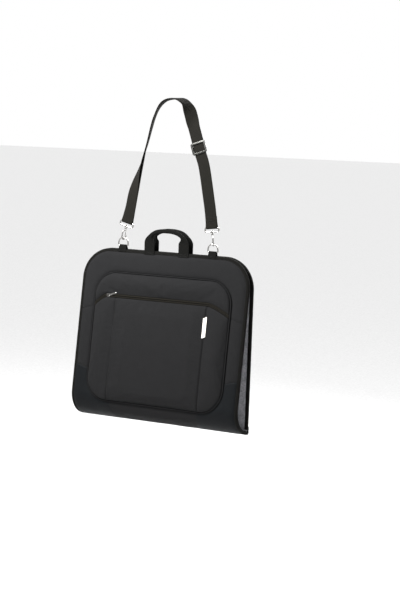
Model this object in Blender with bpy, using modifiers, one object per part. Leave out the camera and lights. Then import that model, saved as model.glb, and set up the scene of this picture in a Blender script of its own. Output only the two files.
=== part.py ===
"""Bi-fold garment bag on a shoulder strap, as an assembly of separate pieces.

Metres, +Z up, +X to the wearer's front, -Y out of the pocket face.  The world
origin is the underside of the shoulder webbing at its crest, where it rests.
The bag's own frame has its origin at the middle of the top edge: see bag().
"""
import math

import bmesh
import bpy
from mathutils import Matrix, Vector

# ---- bag -----------------------------------------------------------------
BAG_X = -0.016              # bag centre from the strap's crest
BAG_WIDTH = 0.575
BAG_HEIGHT = 0.510          # top edge to the bottom of the fold
CORNER_RADIUS = 0.090       # top corners
CORNER_STEPS = 9            # facets in a top corner, the same for every layer
BOTTOM_RADIUS = 0.070       # side view, where the front turns back to the fold
FRONT_LEAN = math.radians(8.0)
FOLD_ANGLE = math.radians(85.0)
HALVES_GAP = 0.0035         # between the two bindings along the top edge
GAP = 0.0003                # clearance between pieces that touch

SHELL_T = 0.0012
FOAM_T = 0.0030
BOARD_T = 0.0008
LINING_T = 0.0007
STACK_T = SHELL_T + FOAM_T + BOARD_T + LINING_T + 3 * GAP

BINDING_T = 0.0012
BINDING_LEG = 0.0080
FOLD_ROD_R = 0.0042
FOLD_END = 0.0054           # rod centre to the ends of both panels
FOLD_BINDING_END = 0.0095   # rod centre to the ends of the bindings

# ---- front pocket --------------------------------------------------------
POCKET_HALF_W = 0.233
POCKET_TOP = 0.071
POCKET_FOOT = 0.0934       # pocket's bottom above the end of the front's panel
POCKET_RADIUS = 0.070
POCKET_T = 0.0040
PIPING_R = 0.0018
ZIP_S = 0.1405              # zip line below the top edge
ZIP_STRAIGHT = 0.190        # half length of the straight stretch
ZIP_SIDE_DROP = 0.030
ZIP_GAP_HALF = 0.0062       # from the zip line to the panels
TAPE_T = 0.0008
COIL_W = 0.0052
COIL_T = 0.0016
ZIP_SLIDER_X = -0.187
ZIP_SLIDER = (0.0130, 0.0078, 0.0022)
PULL_LEN = 0.031
PULL_W = 0.0046
PULL_T = 0.0012
PULL_RISE = math.radians(20.0)
PULL_LIFT = 0.0006          # under the pull, so that its end can turn
PULL_LUG = (0.0024, 0.0008, 0.0022)
SEAM_X = 0.158
PANEL_RISE = 0.090          # top of the lower corner panels above the pocket's bottom
BADGE = (0.0112, 0.062, 0.0012)
BADGE_S = 0.209

# ---- handles -------------------------------------------------------------
HANDLE_X = 0.059            # middle of each leg
HANDLE_TOP = 0.064          # middle of the grip above the top edge
LEG_W = 0.035
LEG_T = 0.0014
GRIP_W = 0.0125
GRIP_T = 0.0115
HANDLE_PIVOT_GAP = 0.0012
PATCH_DROP = 0.010

# ---- rings, hooks and strap ----------------------------------------------
RING_X = 0.155
RING_WIRE_R = 0.0020
RING_WIDTH = 0.0330         # between wire centres
RING_HEIGHT = 0.0240
RING_BAR_Z = 0.0118         # straight bar above the top edge
TAB_W = 0.026
TAB_T = 0.0012
TAB_DROP = 0.007

HOOK_WIRE_R = 0.0019
HOOK_INNER = 0.0098
HOOK_SEAT_GAP = 0.0011      # ring wire to the bend, for the tilts between them
HOOK_SHANK_LOW = 0.0170     # where the bend's straight side starts
HOOK_NOSE = 0.0055          # nose above the middle of the bend
HOOK_LUG_GAP = 0.0005       # the gate's end to the lug above it
HOOK_NECK_Z = 0.0270        # neck cylinder from here
HOOK_NECK_H = 0.0060
HOOK_NECK_R = 0.0040
STUD_R = 0.0018
STUD_BORE_R = 0.0021
STUD_HEAD_R = 0.0034
STUD_HEAD_T = 0.0013
GATE_R = 0.0014
GATE_LEN = 0.0125
LOOP_WIRE_R = 0.0022
LOOP_SLACK = 0.0016         # webbing's edge to the loop's wire
LOOP_HEIGHT = 0.0126
LOOP_CORNER = 0.0045
LOOP_BOSS_R = 0.0044
LOOP_BOSS_H = 0.0054
LEFT_LEAN = math.radians(14.0)
RIGHT_LEAN = math.radians(-7.0)
LEFT_HOOK_TURN = math.radians(-28.0)
RIGHT_HOOK_TURN = math.radians(38.0)

STRAP_W = 0.038
STRAP_T = 0.0018
LAYER_GAP = 0.0004
CREST_Z = 0.4545            # middle of the doubled webbing above the top edge
SEWN_END = 0.036            # sewn end of the webbing beyond the right loop
SLIDER_ALONG = 0.070        # slider centre, along the straight from its top end
SLIDER_TRAVEL = 0.025
SLIDER_BAR_R = 0.0019
SLIDER_LENGTH = 0.0340
SLIDER_HEIGHT = 0.0030
SLIDER_RAIL = 0.0040
SLIDER_SLACK = 0.0005       # webbing's edge to the slider's rail
SLIDER_CHEEK = 0.0100       # length of the cheeks that carry the bar
TAIL_LEN = 0.018
STRAIGHT_END = 0.045        # straight webbing beyond each loop
RETURN_GAP = 0.012          # return layer's end to the tail, at full travel
WRAP_REACH = 0.016          # distance in which the layers close behind a loop

# ---- inside --------------------------------------------------------------
BRACKET = (0.060, 0.004, 0.030)
BRACKET_SLOT = (0.030, 0.020, 0.010)
BRACKET_S = 0.060
GARMENT_STRAP_W = 0.025
GARMENT_STRAP_T = 0.0012
GARMENT_STRAP_HALF = 0.215
GARMENT_STRAP_S = (0.200, 0.360)

LOOP_WIDTH = STRAP_W + 2 * (LOOP_WIRE_R + LOOP_SLACK)      # between wire centres
SLIDER_FRAME = (STRAP_W + 2 * (SLIDER_RAIL + SLIDER_SLACK), SLIDER_LENGTH, SLIDER_HEIGHT)
LAYER_OFFSET = (STRAP_T + LAYER_GAP) / 2
BAG_TOP_Z = -(CREST_Z - LAYER_OFFSET - STRAP_T / 2)
LOOP_BAR_Z = HOOK_NECK_Z + HOOK_NECK_H + GAP + LOOP_BOSS_H / 2
STRAP_BAR_Z = LOOP_BAR_Z + LOOP_HEIGHT
RING_TOP_Z = RING_BAR_Z + RING_HEIGHT

for old in list(bpy.data.objects):
    bpy.data.objects.remove(old, do_unlink=True)

PARTS = bpy.data.collections.new("garment_bag")
CUTTERS = bpy.data.collections.new("cutters")
bpy.context.scene.collection.children.link(PARTS)
bpy.context.scene.collection.children.link(CUTTERS)


# ---- materials -----------------------------------------------------------
def material(name, color, roughness, metallic=0.0):
    mat = bpy.data.materials.new(name)
    mat.use_nodes = True
    shader = mat.node_tree.nodes["Principled BSDF"]
    shader.inputs["Base Color"].default_value = (*color, 1.0)
    shader.inputs["Roughness"].default_value = roughness
    shader.inputs["Metallic"].default_value = metallic
    mat.diffuse_color = (*color, 1.0)
    return mat


FABRIC = material("shell_fabric", (0.040, 0.040, 0.041), 0.85)
PANEL = material("panel_fabric", (0.022, 0.025, 0.030), 0.75)
TRIM = material("trim_webbing", (0.028, 0.028, 0.024), 0.80)
STRAP = material("strap_webbing", (0.034, 0.031, 0.027), 0.80)
LINING = material("lining_fabric", (0.115, 0.116, 0.122), 0.90)
FOAM = material("foam", (0.30, 0.30, 0.30), 0.95)
BOARD = material("board", (0.05, 0.05, 0.05), 0.60)
NICKEL = material("nickel", (0.55, 0.54, 0.52), 0.25, 1.0)
GUNMETAL = material("gunmetal", (0.10, 0.10, 0.09), 0.35, 1.0)
BADGE_METAL = material("badge_metal", (0.80, 0.78, 0.74), 0.35, 0.6)
COIL = material("coil_nylon", (0.012, 0.012, 0.012), 0.45)


# ---- frames and surfaces -------------------------------------------------
def bag(x, y, z):
    """A point in the bag's frame, in world coordinates."""
    return Vector((x + BAG_X, y, z + BAG_TOP_Z))


FRONT_OUT_Y = -STACK_T / 2
EDGE_OUT = GAP + BINDING_T
BACK_IN_Y = STACK_T / 2 + 2 * EDGE_OUT + HALVES_GAP
BACK_OUT_Y = BACK_IN_Y + STACK_T
FRONT_CURVE = FRONT_LEAN + FOLD_ANGLE
CURVE_DROP = BOTTOM_RADIUS * (math.sin(FOLD_ANGLE) + math.sin(FRONT_LEAN))
FRONT_FLAT = (BAG_HEIGHT - CURVE_DROP) / math.cos(FRONT_LEAN)
FRONT_END = FRONT_FLAT + BOTTOM_RADIUS * FRONT_CURVE
POCKET_BOTTOM = FRONT_END - POCKET_FOOT
PANEL_TOP = POCKET_BOTTOM - PANEL_RISE


def front(x, s, n):
    """A point of the front half: x across, s down from the top edge, n out."""
    turn = min(max((s - FRONT_FLAT) / BOTTOM_RADIUS, 0.0), FRONT_CURVE)
    flat = min(s, FRONT_FLAT)
    past = max(s - FRONT_END, 0.0)
    angle = turn - FRONT_LEAN
    y = FRONT_OUT_Y - flat * math.sin(FRONT_LEAN)
    z = -flat * math.cos(FRONT_LEAN)
    y += BOTTOM_RADIUS * (math.cos(FRONT_LEAN) - math.cos(angle))
    z -= BOTTOM_RADIUS * (math.sin(angle) + math.sin(FRONT_LEAN))
    y += past * math.sin(angle) - n * math.cos(angle)
    z -= past * math.cos(angle) + n * math.sin(angle)
    return bag(x, y, z)


FOLD_CENTRE = front(-BAG_X, FRONT_END + FOLD_END, -STACK_T / 2)
BACK_MID_TOP = bag(-BAG_X, (BACK_IN_Y + BACK_OUT_Y) / 2, 0.0)
BACK_LINE = FOLD_CENTRE - BACK_MID_TOP
BACK_DOWN = BACK_LINE.normalized()
BACK_NORMAL = Vector((0.0, -BACK_DOWN.z, BACK_DOWN.y))
BACK_END = BACK_LINE.length - FOLD_END


def back(x, s, n):
    """A point of the back half, in the same terms as front()."""
    out = n + STACK_T / 2
    return BACK_MID_TOP + Vector((x + BAG_X, 0, 0)) + BACK_DOWN * s + BACK_NORMAL * out


def steps(first, last, count):
    return [first + (last - first) * i / count for i in range(count + 1)]


def rounded_half_width(s, half_w, top, radius):
    """Half the width at s of an outline whose top corners have this radius."""
    if s >= top + radius:
        return half_w
    drop = top + radius - s
    return half_w - radius + math.sqrt(max(radius * radius - drop * drop, 0.0))


def corner_stations(top, radius):
    return [top + radius * (1 - math.cos(t)) for t in steps(0, math.pi / 2, CORNER_STEPS)]


# ---- building blocks -----------------------------------------------------
def finish(obj, mat, smooth=True):
    obj.data.materials.clear()
    obj.data.materials.append(mat)
    if smooth and obj.type == "MESH":
        obj.data.shade_smooth()
        obj.data.set_sharp_from_angle(angle=math.radians(35))
    return obj


def mesh_object(name, verts, faces, mat, collection=PARTS):
    mesh = bpy.data.meshes.new(name)
    mesh.from_pydata([tuple(v) for v in verts], [], faces)
    mesh.validate()
    obj = bpy.data.objects.new(name, mesh)
    collection.objects.link(obj)
    return finish(obj, mat)


def recalc(obj):
    work = bmesh.new()
    work.from_mesh(obj.data)
    bmesh.ops.recalc_face_normals(work, faces=work.faces)
    work.to_mesh(obj.data)
    work.free()
    return obj


def set_origin(obj, point):
    """Moves an object's origin to a world point and keeps its shape in place."""
    obj.data.transform(Matrix.Translation(-Vector(point)))
    obj.location = point
    return obj


def sheet(name, place, lines, thickness, mat):
    """A sheet of cloth or board: lines are ((x, s), (x, s)) pairs, n its middle."""
    verts = [place(*point) for line in lines for point in line]
    faces = [(2 * i, 2 * i + 1, 2 * i + 3, 2 * i + 2) for i in range(len(lines) - 1)]
    obj = mesh_object(name, verts, faces, mat)
    solid = obj.modifiers.new("thickness", "SOLIDIFY")
    solid.thickness = thickness
    solid.offset = 0.0
    solid.use_even_offset = True
    return obj


def at_depth(surface, n):
    return lambda x, s: surface(x, s, n)


def sweep(name, rings, mat):
    """A solid through rings of equal point counts, capped by strips."""
    count = len(rings[0])
    verts = [point for ring in rings for point in ring]
    faces = []
    for i in range(len(rings) - 1):
        for j in range(count):
            k = (j + 1) % count
            faces.append((i * count + j, i * count + k, (i + 1) * count + k, (i + 1) * count + j))
    last = (len(rings) - 1) * count
    for j in range(count // 2 - 1):
        cap = (j, j + 1, count - 2 - j, count - 1 - j)
        faces.append(cap)
        faces.append(tuple(last + k for k in reversed(cap)))
    return recalc(mesh_object(name, verts, faces, mat))


def wire(name, points, radius, mat, cyclic=False, collection=PARTS):
    """A wire as a solid mesh, from a bevelled curve."""
    curve = bpy.data.curves.new(name, "CURVE")
    curve.dimensions = "3D"
    curve.bevel_depth = radius
    curve.bevel_resolution = 2
    curve.use_fill_caps = True
    spline = curve.splines.new("POLY")
    spline.points.add(len(points) - 1)
    for slot, point in zip(spline.points, points):
        slot.co = (*point, 1.0)
    spline.use_cyclic_u = cyclic
    guide = bpy.data.objects.new(name + "_curve", curve)
    collection.objects.link(guide)
    bpy.context.view_layer.update()
    evaluated = guide.evaluated_get(bpy.context.evaluated_depsgraph_get())
    mesh = bpy.data.meshes.new_from_object(evaluated)
    mesh.name = name
    obj = bpy.data.objects.new(name, mesh)
    obj.matrix_world = guide.matrix_world
    collection.objects.link(obj)
    bpy.data.objects.remove(guide, do_unlink=True)
    work = bmesh.new()
    work.from_mesh(mesh)
    bmesh.ops.remove_doubles(work, verts=work.verts, dist=1e-6)
    bmesh.ops.recalc_face_normals(work, faces=work.faces)
    work.to_mesh(mesh)
    work.free()
    return finish(obj, mat)


def cylinder(name, radius, low, high, mat, collection=PARTS, segments=20):
    """A cylinder about local Z from low to high."""
    mesh = bpy.data.meshes.new(name)
    work = bmesh.new()
    move = Matrix.Translation((0, 0, (low + high) / 2))
    bmesh.ops.create_cone(work, cap_ends=True, segments=segments, radius1=radius,
                          radius2=radius, depth=high - low, matrix=move)
    work.to_mesh(mesh)
    work.free()
    obj = bpy.data.objects.new(name, mesh)
    collection.objects.link(obj)
    return finish(obj, mat)


def box(name, size, centre, mat, bevel=0.0, collection=PARTS):
    mesh = bpy.data.meshes.new(name)
    work = bmesh.new()
    bmesh.ops.create_cube(work, size=1.0)
    bmesh.ops.scale(work, vec=size, verts=work.verts)
    bmesh.ops.translate(work, vec=centre, verts=work.verts)
    work.to_mesh(mesh)
    work.free()
    obj = bpy.data.objects.new(name, mesh)
    collection.objects.link(obj)
    if bevel:
        edge = obj.modifiers.new("edge", "BEVEL")
        edge.width = bevel
        edge.segments = 2
    return finish(obj, mat, smooth=False)


def boolean(obj, other, operation):
    """Joins or cuts obj with another object, kept as a hidden cutter."""
    for owner in list(other.users_collection):
        owner.objects.unlink(other)
    CUTTERS.objects.link(other)
    other.hide_render = True
    other.display_type = "WIRE"
    step = obj.modifiers.new(operation.lower(), "BOOLEAN")
    step.operation = operation
    step.object = other
    return obj


def arc(centre_a, centre_b, radius, start, end, count):
    """Points of an arc in a plane, by angle from the first axis."""
    return [(centre_a + radius * math.cos(t), centre_b + radius * math.sin(t))
            for t in steps(start, end, count)]


# ---- the two halves ------------------------------------------------------
def panel_lines(half_w, end, flat_end):
    """Cross lines of a half's outline, finer in the corners and the curve."""
    stations = corner_stations(0.0, CORNER_RADIUS)
    stations += steps(flat_end, end, 11) if flat_end < end else [end]
    return [((-rounded_half_width(s, half_w, 0.0, CORNER_RADIUS), s),
             (rounded_half_width(s, half_w, 0.0, CORNER_RADIUS), s)) for s in stations]


def layers(prefix, surface, end, flat_end):
    half_w = BAG_WIDTH / 2 - EDGE_OUT
    stack = (("shell", SHELL_T, FABRIC), ("foam", FOAM_T, FOAM),
             ("board", BOARD_T, BOARD), ("lining", LINING_T, LINING))
    depth = 0.0
    for layer, thickness, mat in stack:
        lines = panel_lines(half_w, end, flat_end)
        sheet(f"{prefix}_{layer}", at_depth(surface, -depth - thickness / 2), lines,
              thickness, mat)
        depth += thickness + GAP


def edge_path(end, flat_end):
    """Stations (x, s, out_x, out_s) round a half's edge, left to right."""
    half_w = BAG_WIDTH / 2 - EDGE_OUT
    side = [(half_w, s, 1.0, 0.0) for s in (steps(end, flat_end, 11) if flat_end < end else [end])]
    corner = []
    for angle in steps(0.0, math.pi / 2, CORNER_STEPS):
        out_x, out_s = math.cos(angle), -math.sin(angle)
        corner.append((half_w - CORNER_RADIUS + CORNER_RADIUS * out_x,
                       CORNER_RADIUS + CORNER_RADIUS * out_s, out_x, out_s))
    right = side + corner
    left = [(-x, s, -out_x, out_s) for x, s, out_x, out_s in right]
    return left + right[::-1]


def binding(prefix, surface, end, flat_end):
    """The edge tape: a U section that wraps the stack's edge."""
    outer = GAP + BINDING_T
    section = ((-BINDING_LEG, outer), (outer, outer),
               (outer, -STACK_T - outer), (-BINDING_LEG, -STACK_T - outer),
               (-BINDING_LEG, -STACK_T - GAP), (GAP, -STACK_T - GAP),
               (GAP, GAP), (-BINDING_LEG, GAP))
    rings = []
    for x, s, out_x, out_s in edge_path(end, flat_end):
        rings.append([surface(x + e * out_x, s + e * out_s, n) for e, n in section])
    return sweep(f"{prefix}_binding", rings, TRIM)


def fold_rod():
    """The corded fold that joins the two halves, on their hinge axis."""
    rod = cylinder("fold_piping", FOLD_ROD_R, -BAG_WIDTH / 2, BAG_WIDTH / 2, TRIM)
    rod.rotation_euler = (0, math.pi / 2, 0)
    rod.location = (BAG_X, FOLD_CENTRE.y, FOLD_CENTRE.z)


# ---- the front pocket ----------------------------------------------------
POCKET_MID = GAP + POCKET_T / 2


def zip_line(x):
    """The zip's s at x: straight, then falling away to the pocket's sides."""
    past = max(abs(x) - ZIP_STRAIGHT, 0.0) / (POCKET_HALF_W - ZIP_STRAIGHT)
    return ZIP_S + ZIP_SIDE_DROP * past ** 1.4


def pocket_columns():
    """Stations across the pocket, shared by all that follows the zip line."""
    radius = POCKET_RADIUS
    turn = [POCKET_HALF_W - radius + radius * math.sin(t) for t in steps(0, math.pi / 2, 9)]
    fall = steps(ZIP_STRAIGHT, POCKET_HALF_W, 5)[:-1]
    right = sorted(turn + fall)
    return [-x for x in reversed(right)] + right


def pocket_upper():
    lines = []
    for x in pocket_columns():
        past = max(abs(x) - POCKET_HALF_W + POCKET_RADIUS, 0.0)
        top = POCKET_TOP + POCKET_RADIUS - math.sqrt(max(POCKET_RADIUS ** 2 - past ** 2, 0.0))
        bottom = zip_line(x) - ZIP_GAP_HALF
        lines.append(((x, min(top, bottom - 0.004)), (x, bottom)))
    sheet("pocket_upper_panel", at_depth(front, POCKET_MID), lines, POCKET_T, FABRIC)


def pocket_lower():
    start = zip_line(0.0) + ZIP_GAP_HALF
    rows = [(ZIP_STRAIGHT, start)]
    for x in pocket_columns():
        if x > ZIP_STRAIGHT:
            rows.append((x, zip_line(x) + ZIP_GAP_HALF))
    stations = steps(POCKET_BOTTOM - POCKET_RADIUS, POCKET_BOTTOM, 12)
    for s in stations:
        past = s - POCKET_BOTTOM + POCKET_RADIUS
        x = POCKET_HALF_W - POCKET_RADIUS + math.sqrt(max(POCKET_RADIUS ** 2 - past ** 2, 0.0))
        rows.append((x, s))
    lines = [((-x, s), (x, s)) for x, s in rows]
    sheet("pocket_lower_panel", at_depth(front, POCKET_MID), lines, POCKET_T, FABRIC)


def pocket_piping():
    """A cord round the pocket, just outside its panels."""
    gap = PIPING_R + GAP
    half_w = POCKET_HALF_W + gap
    radius = POCKET_RADIUS + gap
    top = POCKET_TOP - gap
    bottom = POCKET_BOTTOM + gap
    quarter = math.pi / 2
    points = [(half_w - radius + radius * math.cos(t), top + radius - radius * math.sin(t))
              for t in steps(0, quarter, 8)]
    points += [(-x, s) for x, s in reversed(points)]
    lower = [(half_w - radius + radius * math.cos(t), bottom - radius + radius * math.sin(t))
             for t in steps(0, quarter, 12)]
    points += [(-x, s) for x, s in lower]
    points += list(reversed(lower))
    path = [front(x, s, GAP + PIPING_R) for x, s in points]
    wire("pocket_piping", path, PIPING_R, TRIM, cyclic=True)


def zip_parts():
    columns = pocket_columns()
    half = ZIP_GAP_HALF - GAP
    lines = [((x, zip_line(x) - half), (x, zip_line(x) + half)) for x in columns]
    sheet("pocket_zip_tape", at_depth(front, GAP + TAPE_T / 2), lines, TAPE_T, TRIM)
    coil_n = 2 * GAP + TAPE_T + COIL_T / 2
    lines = [((x, zip_line(x) - COIL_W / 2), (x, zip_line(x) + COIL_W / 2))
             for x in columns[1:-1]]
    sheet("pocket_zip_coil", at_depth(front, coil_n), lines, COIL_T, COIL)


def front_axes(s):
    """The directions right, down and out of the front half at s."""
    down = (front(0, s + 0.001, 0) - front(0, s, 0)).normalized()
    out = (front(0, s, 0.001) - front(0, s, 0)).normalized()
    return Vector((1, 0, 0)), down, out


def on_front(obj, x, s, n):
    """Stands an object's X, Y and Z along right, up the front, and out of it."""
    right, down, out = front_axes(s)
    turn = Matrix((right, -down, out)).transposed().to_4x4()
    obj.matrix_world = Matrix.Translation(front(x, s, n)) @ turn
    return obj


def zip_slider():
    length, width, height = ZIP_SLIDER
    low = 3 * GAP + TAPE_T + COIL_T
    body = box("zip_slider", ZIP_SLIDER, (0, 0, height / 2), NICKEL, bevel=0.0007)
    lugs = []
    for side in (-1, 1):
        centre = (length / 4, side * (width - PULL_LUG[1]) / 2, height + PULL_LUG[2] / 4)
        lugs.append(box("zip_lug", PULL_LUG, centre, NICKEL))
        boolean(body, lugs[-1], "UNION")
    for obj in (body, *lugs):
        on_front(obj, ZIP_SLIDER_X, ZIP_S, low)
    pull_n = low + height + PULL_LIFT + PULL_T / 2
    outline = bpy.data.curves.new("zip_pull", "CURVE")
    outline.dimensions = "2D"
    outline.fill_mode = "BOTH"
    outline.extrude = PULL_T / 2
    half = PULL_W / 2
    head_at = half - PULL_T / 2
    tail = arc(PULL_LEN - half, 0, half, -math.pi / 2, math.pi / 2, 8)
    head = arc(head_at, 0, half, math.pi / 2, 3 * math.pi / 2, 8)
    spline = outline.splines.new("POLY")
    spline.points.add(len(tail + head) - 1)
    for slot, (a, b) in zip(spline.points, tail + head):
        slot.co = (a, b, 0, 1)
    spline.use_cyclic_u = True
    guide = bpy.data.objects.new("zip_pull_curve", outline)
    PARTS.objects.link(guide)
    bpy.context.view_layer.update()
    evaluated = guide.evaluated_get(bpy.context.evaluated_depsgraph_get())
    mesh = bpy.data.meshes.new_from_object(evaluated)
    bpy.data.objects.remove(guide, do_unlink=True)
    pull = bpy.data.objects.new("zip_pull", mesh)
    PARTS.objects.link(pull)
    work = bmesh.new()
    work.from_mesh(mesh)
    bmesh.ops.remove_doubles(work, verts=work.verts, dist=1e-6)
    bmesh.ops.recalc_face_normals(work, faces=work.faces)
    work.to_mesh(mesh)
    work.free()
    mesh.transform(Matrix.Rotation(PULL_RISE, 4, "Z"))
    finish(pull, NICKEL, smooth=False)
    on_front(pull, ZIP_SLIDER_X + length / 4, ZIP_S, pull_n)


def badge():
    width, length, height = BADGE
    plate = box("badge_plate", (width, length, height), (0, 0, height / 2), BADGE_METAL, bevel=0.0004)
    on_front(plate, SEAM_X, BADGE_S, POCKET_T + 2 * GAP)


def corner_panels():
    """The smooth lower corner skins between the pocket and the binding."""
    clear = 2 * PIPING_R + 3 * GAP
    skin = 0.0006
    outer = BAG_WIDTH / 2 - EDGE_OUT - BINDING_LEG - GAP
    end = FRONT_END - 0.004
    radius = POCKET_RADIUS + clear
    rows = [(POCKET_HALF_W + clear, PANEL_TOP)]
    seam_share = max(SEAM_X - POCKET_HALF_W + POCKET_RADIUS, 0.0) / radius
    turned = [POCKET_BOTTOM - POCKET_RADIUS + radius * math.sin(t)
              for t in steps(0, math.acos(seam_share), 10)]
    for s in turned:
        past = s - POCKET_BOTTOM + POCKET_RADIUS
        x = POCKET_HALF_W - POCKET_RADIUS + math.sqrt(max(radius ** 2 - past ** 2, 0.0))
        rows.append((x, s))
    rows += [(SEAM_X, s) for s in steps(turned[-1], end, 8)[1:]]
    for name, side in (("left", -1), ("right", 1)):
        lines = [((side * x, s), (side * outer, s)) for x, s in rows]
        sheet(f"corner_panel_{name}", at_depth(front, GAP + skin / 2), lines, skin, PANEL)


# ---- handles -------------------------------------------------------------
PATCH_N = 2 * GAP + BINDING_T + LEG_T / 2 + GAP


def handle_path():
    """Left half of the handle: (x, z, width, thickness) from base to crown."""
    base_z = HANDLE_PIVOT_GAP
    rows = [(-HANDLE_X, base_z, LEG_W, LEG_T), (-HANDLE_X, 0.022, LEG_W, LEG_T * 1.4)]
    rise = HANDLE_TOP - 0.032
    reach = HANDLE_X - 0.004
    for t in steps(0.0, math.pi / 2, 7):
        blend = min(t / (math.pi / 3.2), 1.0)
        width = LEG_W + (GRIP_W - LEG_W) * blend
        thickness = LEG_T * 2 + (GRIP_T - LEG_T * 2) * blend
        rows.append((-reach * math.cos(t) ** 0.8 if t < math.pi / 2 else 0.0,
                     0.032 + rise * math.sin(t), width, thickness))
    return rows


def handle(name, y):
    left = handle_path()
    path = left + [(-x, z, w, t) for x, z, w, t in reversed(left[:-1])]
    rings = []
    for i, (x, z, width, thickness) in enumerate(path):
        before = path[max(i - 1, 0)]
        after = path[min(i + 1, len(path) - 1)]
        along = Vector((after[0] - before[0], 0, after[1] - before[1])).normalized()
        side = Vector((along.z, 0, -along.x))
        ring = []
        for k in range(10):
            angle = 2 * math.pi * (k + 0.5) / 10
            across = math.copysign(abs(math.cos(angle)) ** 0.5, math.cos(angle))
            deep = math.copysign(abs(math.sin(angle)) ** 0.5, math.sin(angle))
            point = bag(x, y, z) + side * across * width / 2
            ring.append(point + Vector((0, deep * thickness / 2, 0)))
        rings.append(ring)
    obj = sweep(name, rings, TRIM)
    return set_origin(obj, bag(0, y, 0))


def handles():
    front_y = front(0, 0, PATCH_N).y
    back_y = back(0, 0, PATCH_N).y
    handle("front_handle", front_y)
    handle("back_handle", back_y)
    for prefix, surface in (("front", front), ("back", back)):
        for name, side in (("left", -1), ("right", 1)):
            low, high = side * HANDLE_X - LEG_W / 2, side * HANDLE_X + LEG_W / 2
            lines = [((low, s), (high, s)) for s in (GAP, PATCH_DROP)]
            sheet(f"{prefix}_handle_patch_{name}", at_depth(surface, PATCH_N), lines, LEG_T, TRIM)


# ---- D-rings and their tabs ----------------------------------------------
def ring_points(centre_x):
    half = RING_WIDTH / 2
    corner = 0.004
    rise = RING_HEIGHT
    points = arc(half - corner, corner, corner, -math.pi / 2, 0, 3)
    dome = [(half * math.cos(t), rise - half + half * math.sin(t)) for t in steps(0, math.pi, 14)]
    left = [(-a, b) for a, b in reversed(points)]
    return [bag(centre_x + a, 0, RING_BAR_Z + b) for a, b in points + dome + left]


def ring_tab(name, centre_x):
    """Webbing sewn over the top edge, with the ring's bar in its loop."""
    inner = RING_WIRE_R + GAP
    middle = inner + TAB_T / 2
    clear = STACK_T / 2 + 2 * GAP + BINDING_T + TAB_T / 2
    drop = TAB_DROP
    top = bag(0, 0, RING_BAR_Z)
    rows = []
    low = front(0, drop, clear - STACK_T / 2)
    rows.append((low.y, low.z))
    edge = front(0, 0, clear - STACK_T / 2)
    rows.append((edge.y, edge.z))
    rows.append((-clear, BAG_TOP_Z + EDGE_OUT + GAP))
    rows += [(-middle * math.cos(t), top.z + middle * math.sin(t)) for t in steps(0, math.pi, 10)]
    rows.append((clear, BAG_TOP_Z + EDGE_OUT + GAP))
    edge = front(0, 0, -clear - STACK_T / 2)
    rows.append((edge.y, edge.z))
    low = front(0, drop, -clear - STACK_T / 2)
    rows.append((low.y, low.z))
    x = centre_x + BAG_X
    verts = [Vector((x + side * TAB_W / 2, y, z)) for y, z in rows for side in (-1, 1)]
    faces = [(2 * i, 2 * i + 1, 2 * i + 3, 2 * i + 2) for i in range(len(rows) - 1)]
    obj = mesh_object(name, verts, faces, TRIM)
    solid = obj.modifiers.new("thickness", "SOLIDIFY")
    solid.thickness = TAB_T
    solid.offset = 0.0
    solid.use_even_offset = True


def rings():
    for name, side in (("left", -1), ("right", 1)):
        ring = wire(f"d_ring_{name}", ring_points(side * RING_X), RING_WIRE_R, NICKEL, cyclic=True)
        set_origin(ring, bag(side * RING_X, 0, RING_BAR_Z))
        ring_tab(f"ring_tab_{name}", side * RING_X)


# ---- hooks and swivel loops ----------------------------------------------
def hook_frame(side, lean):
    """World frame of a hook: origin in the ring's top wire, Z along the strap."""
    place = Matrix.Translation(bag(side * RING_X, 0, RING_TOP_Z))
    return place @ Matrix.Rotation(lean, 4, "Y")


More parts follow.
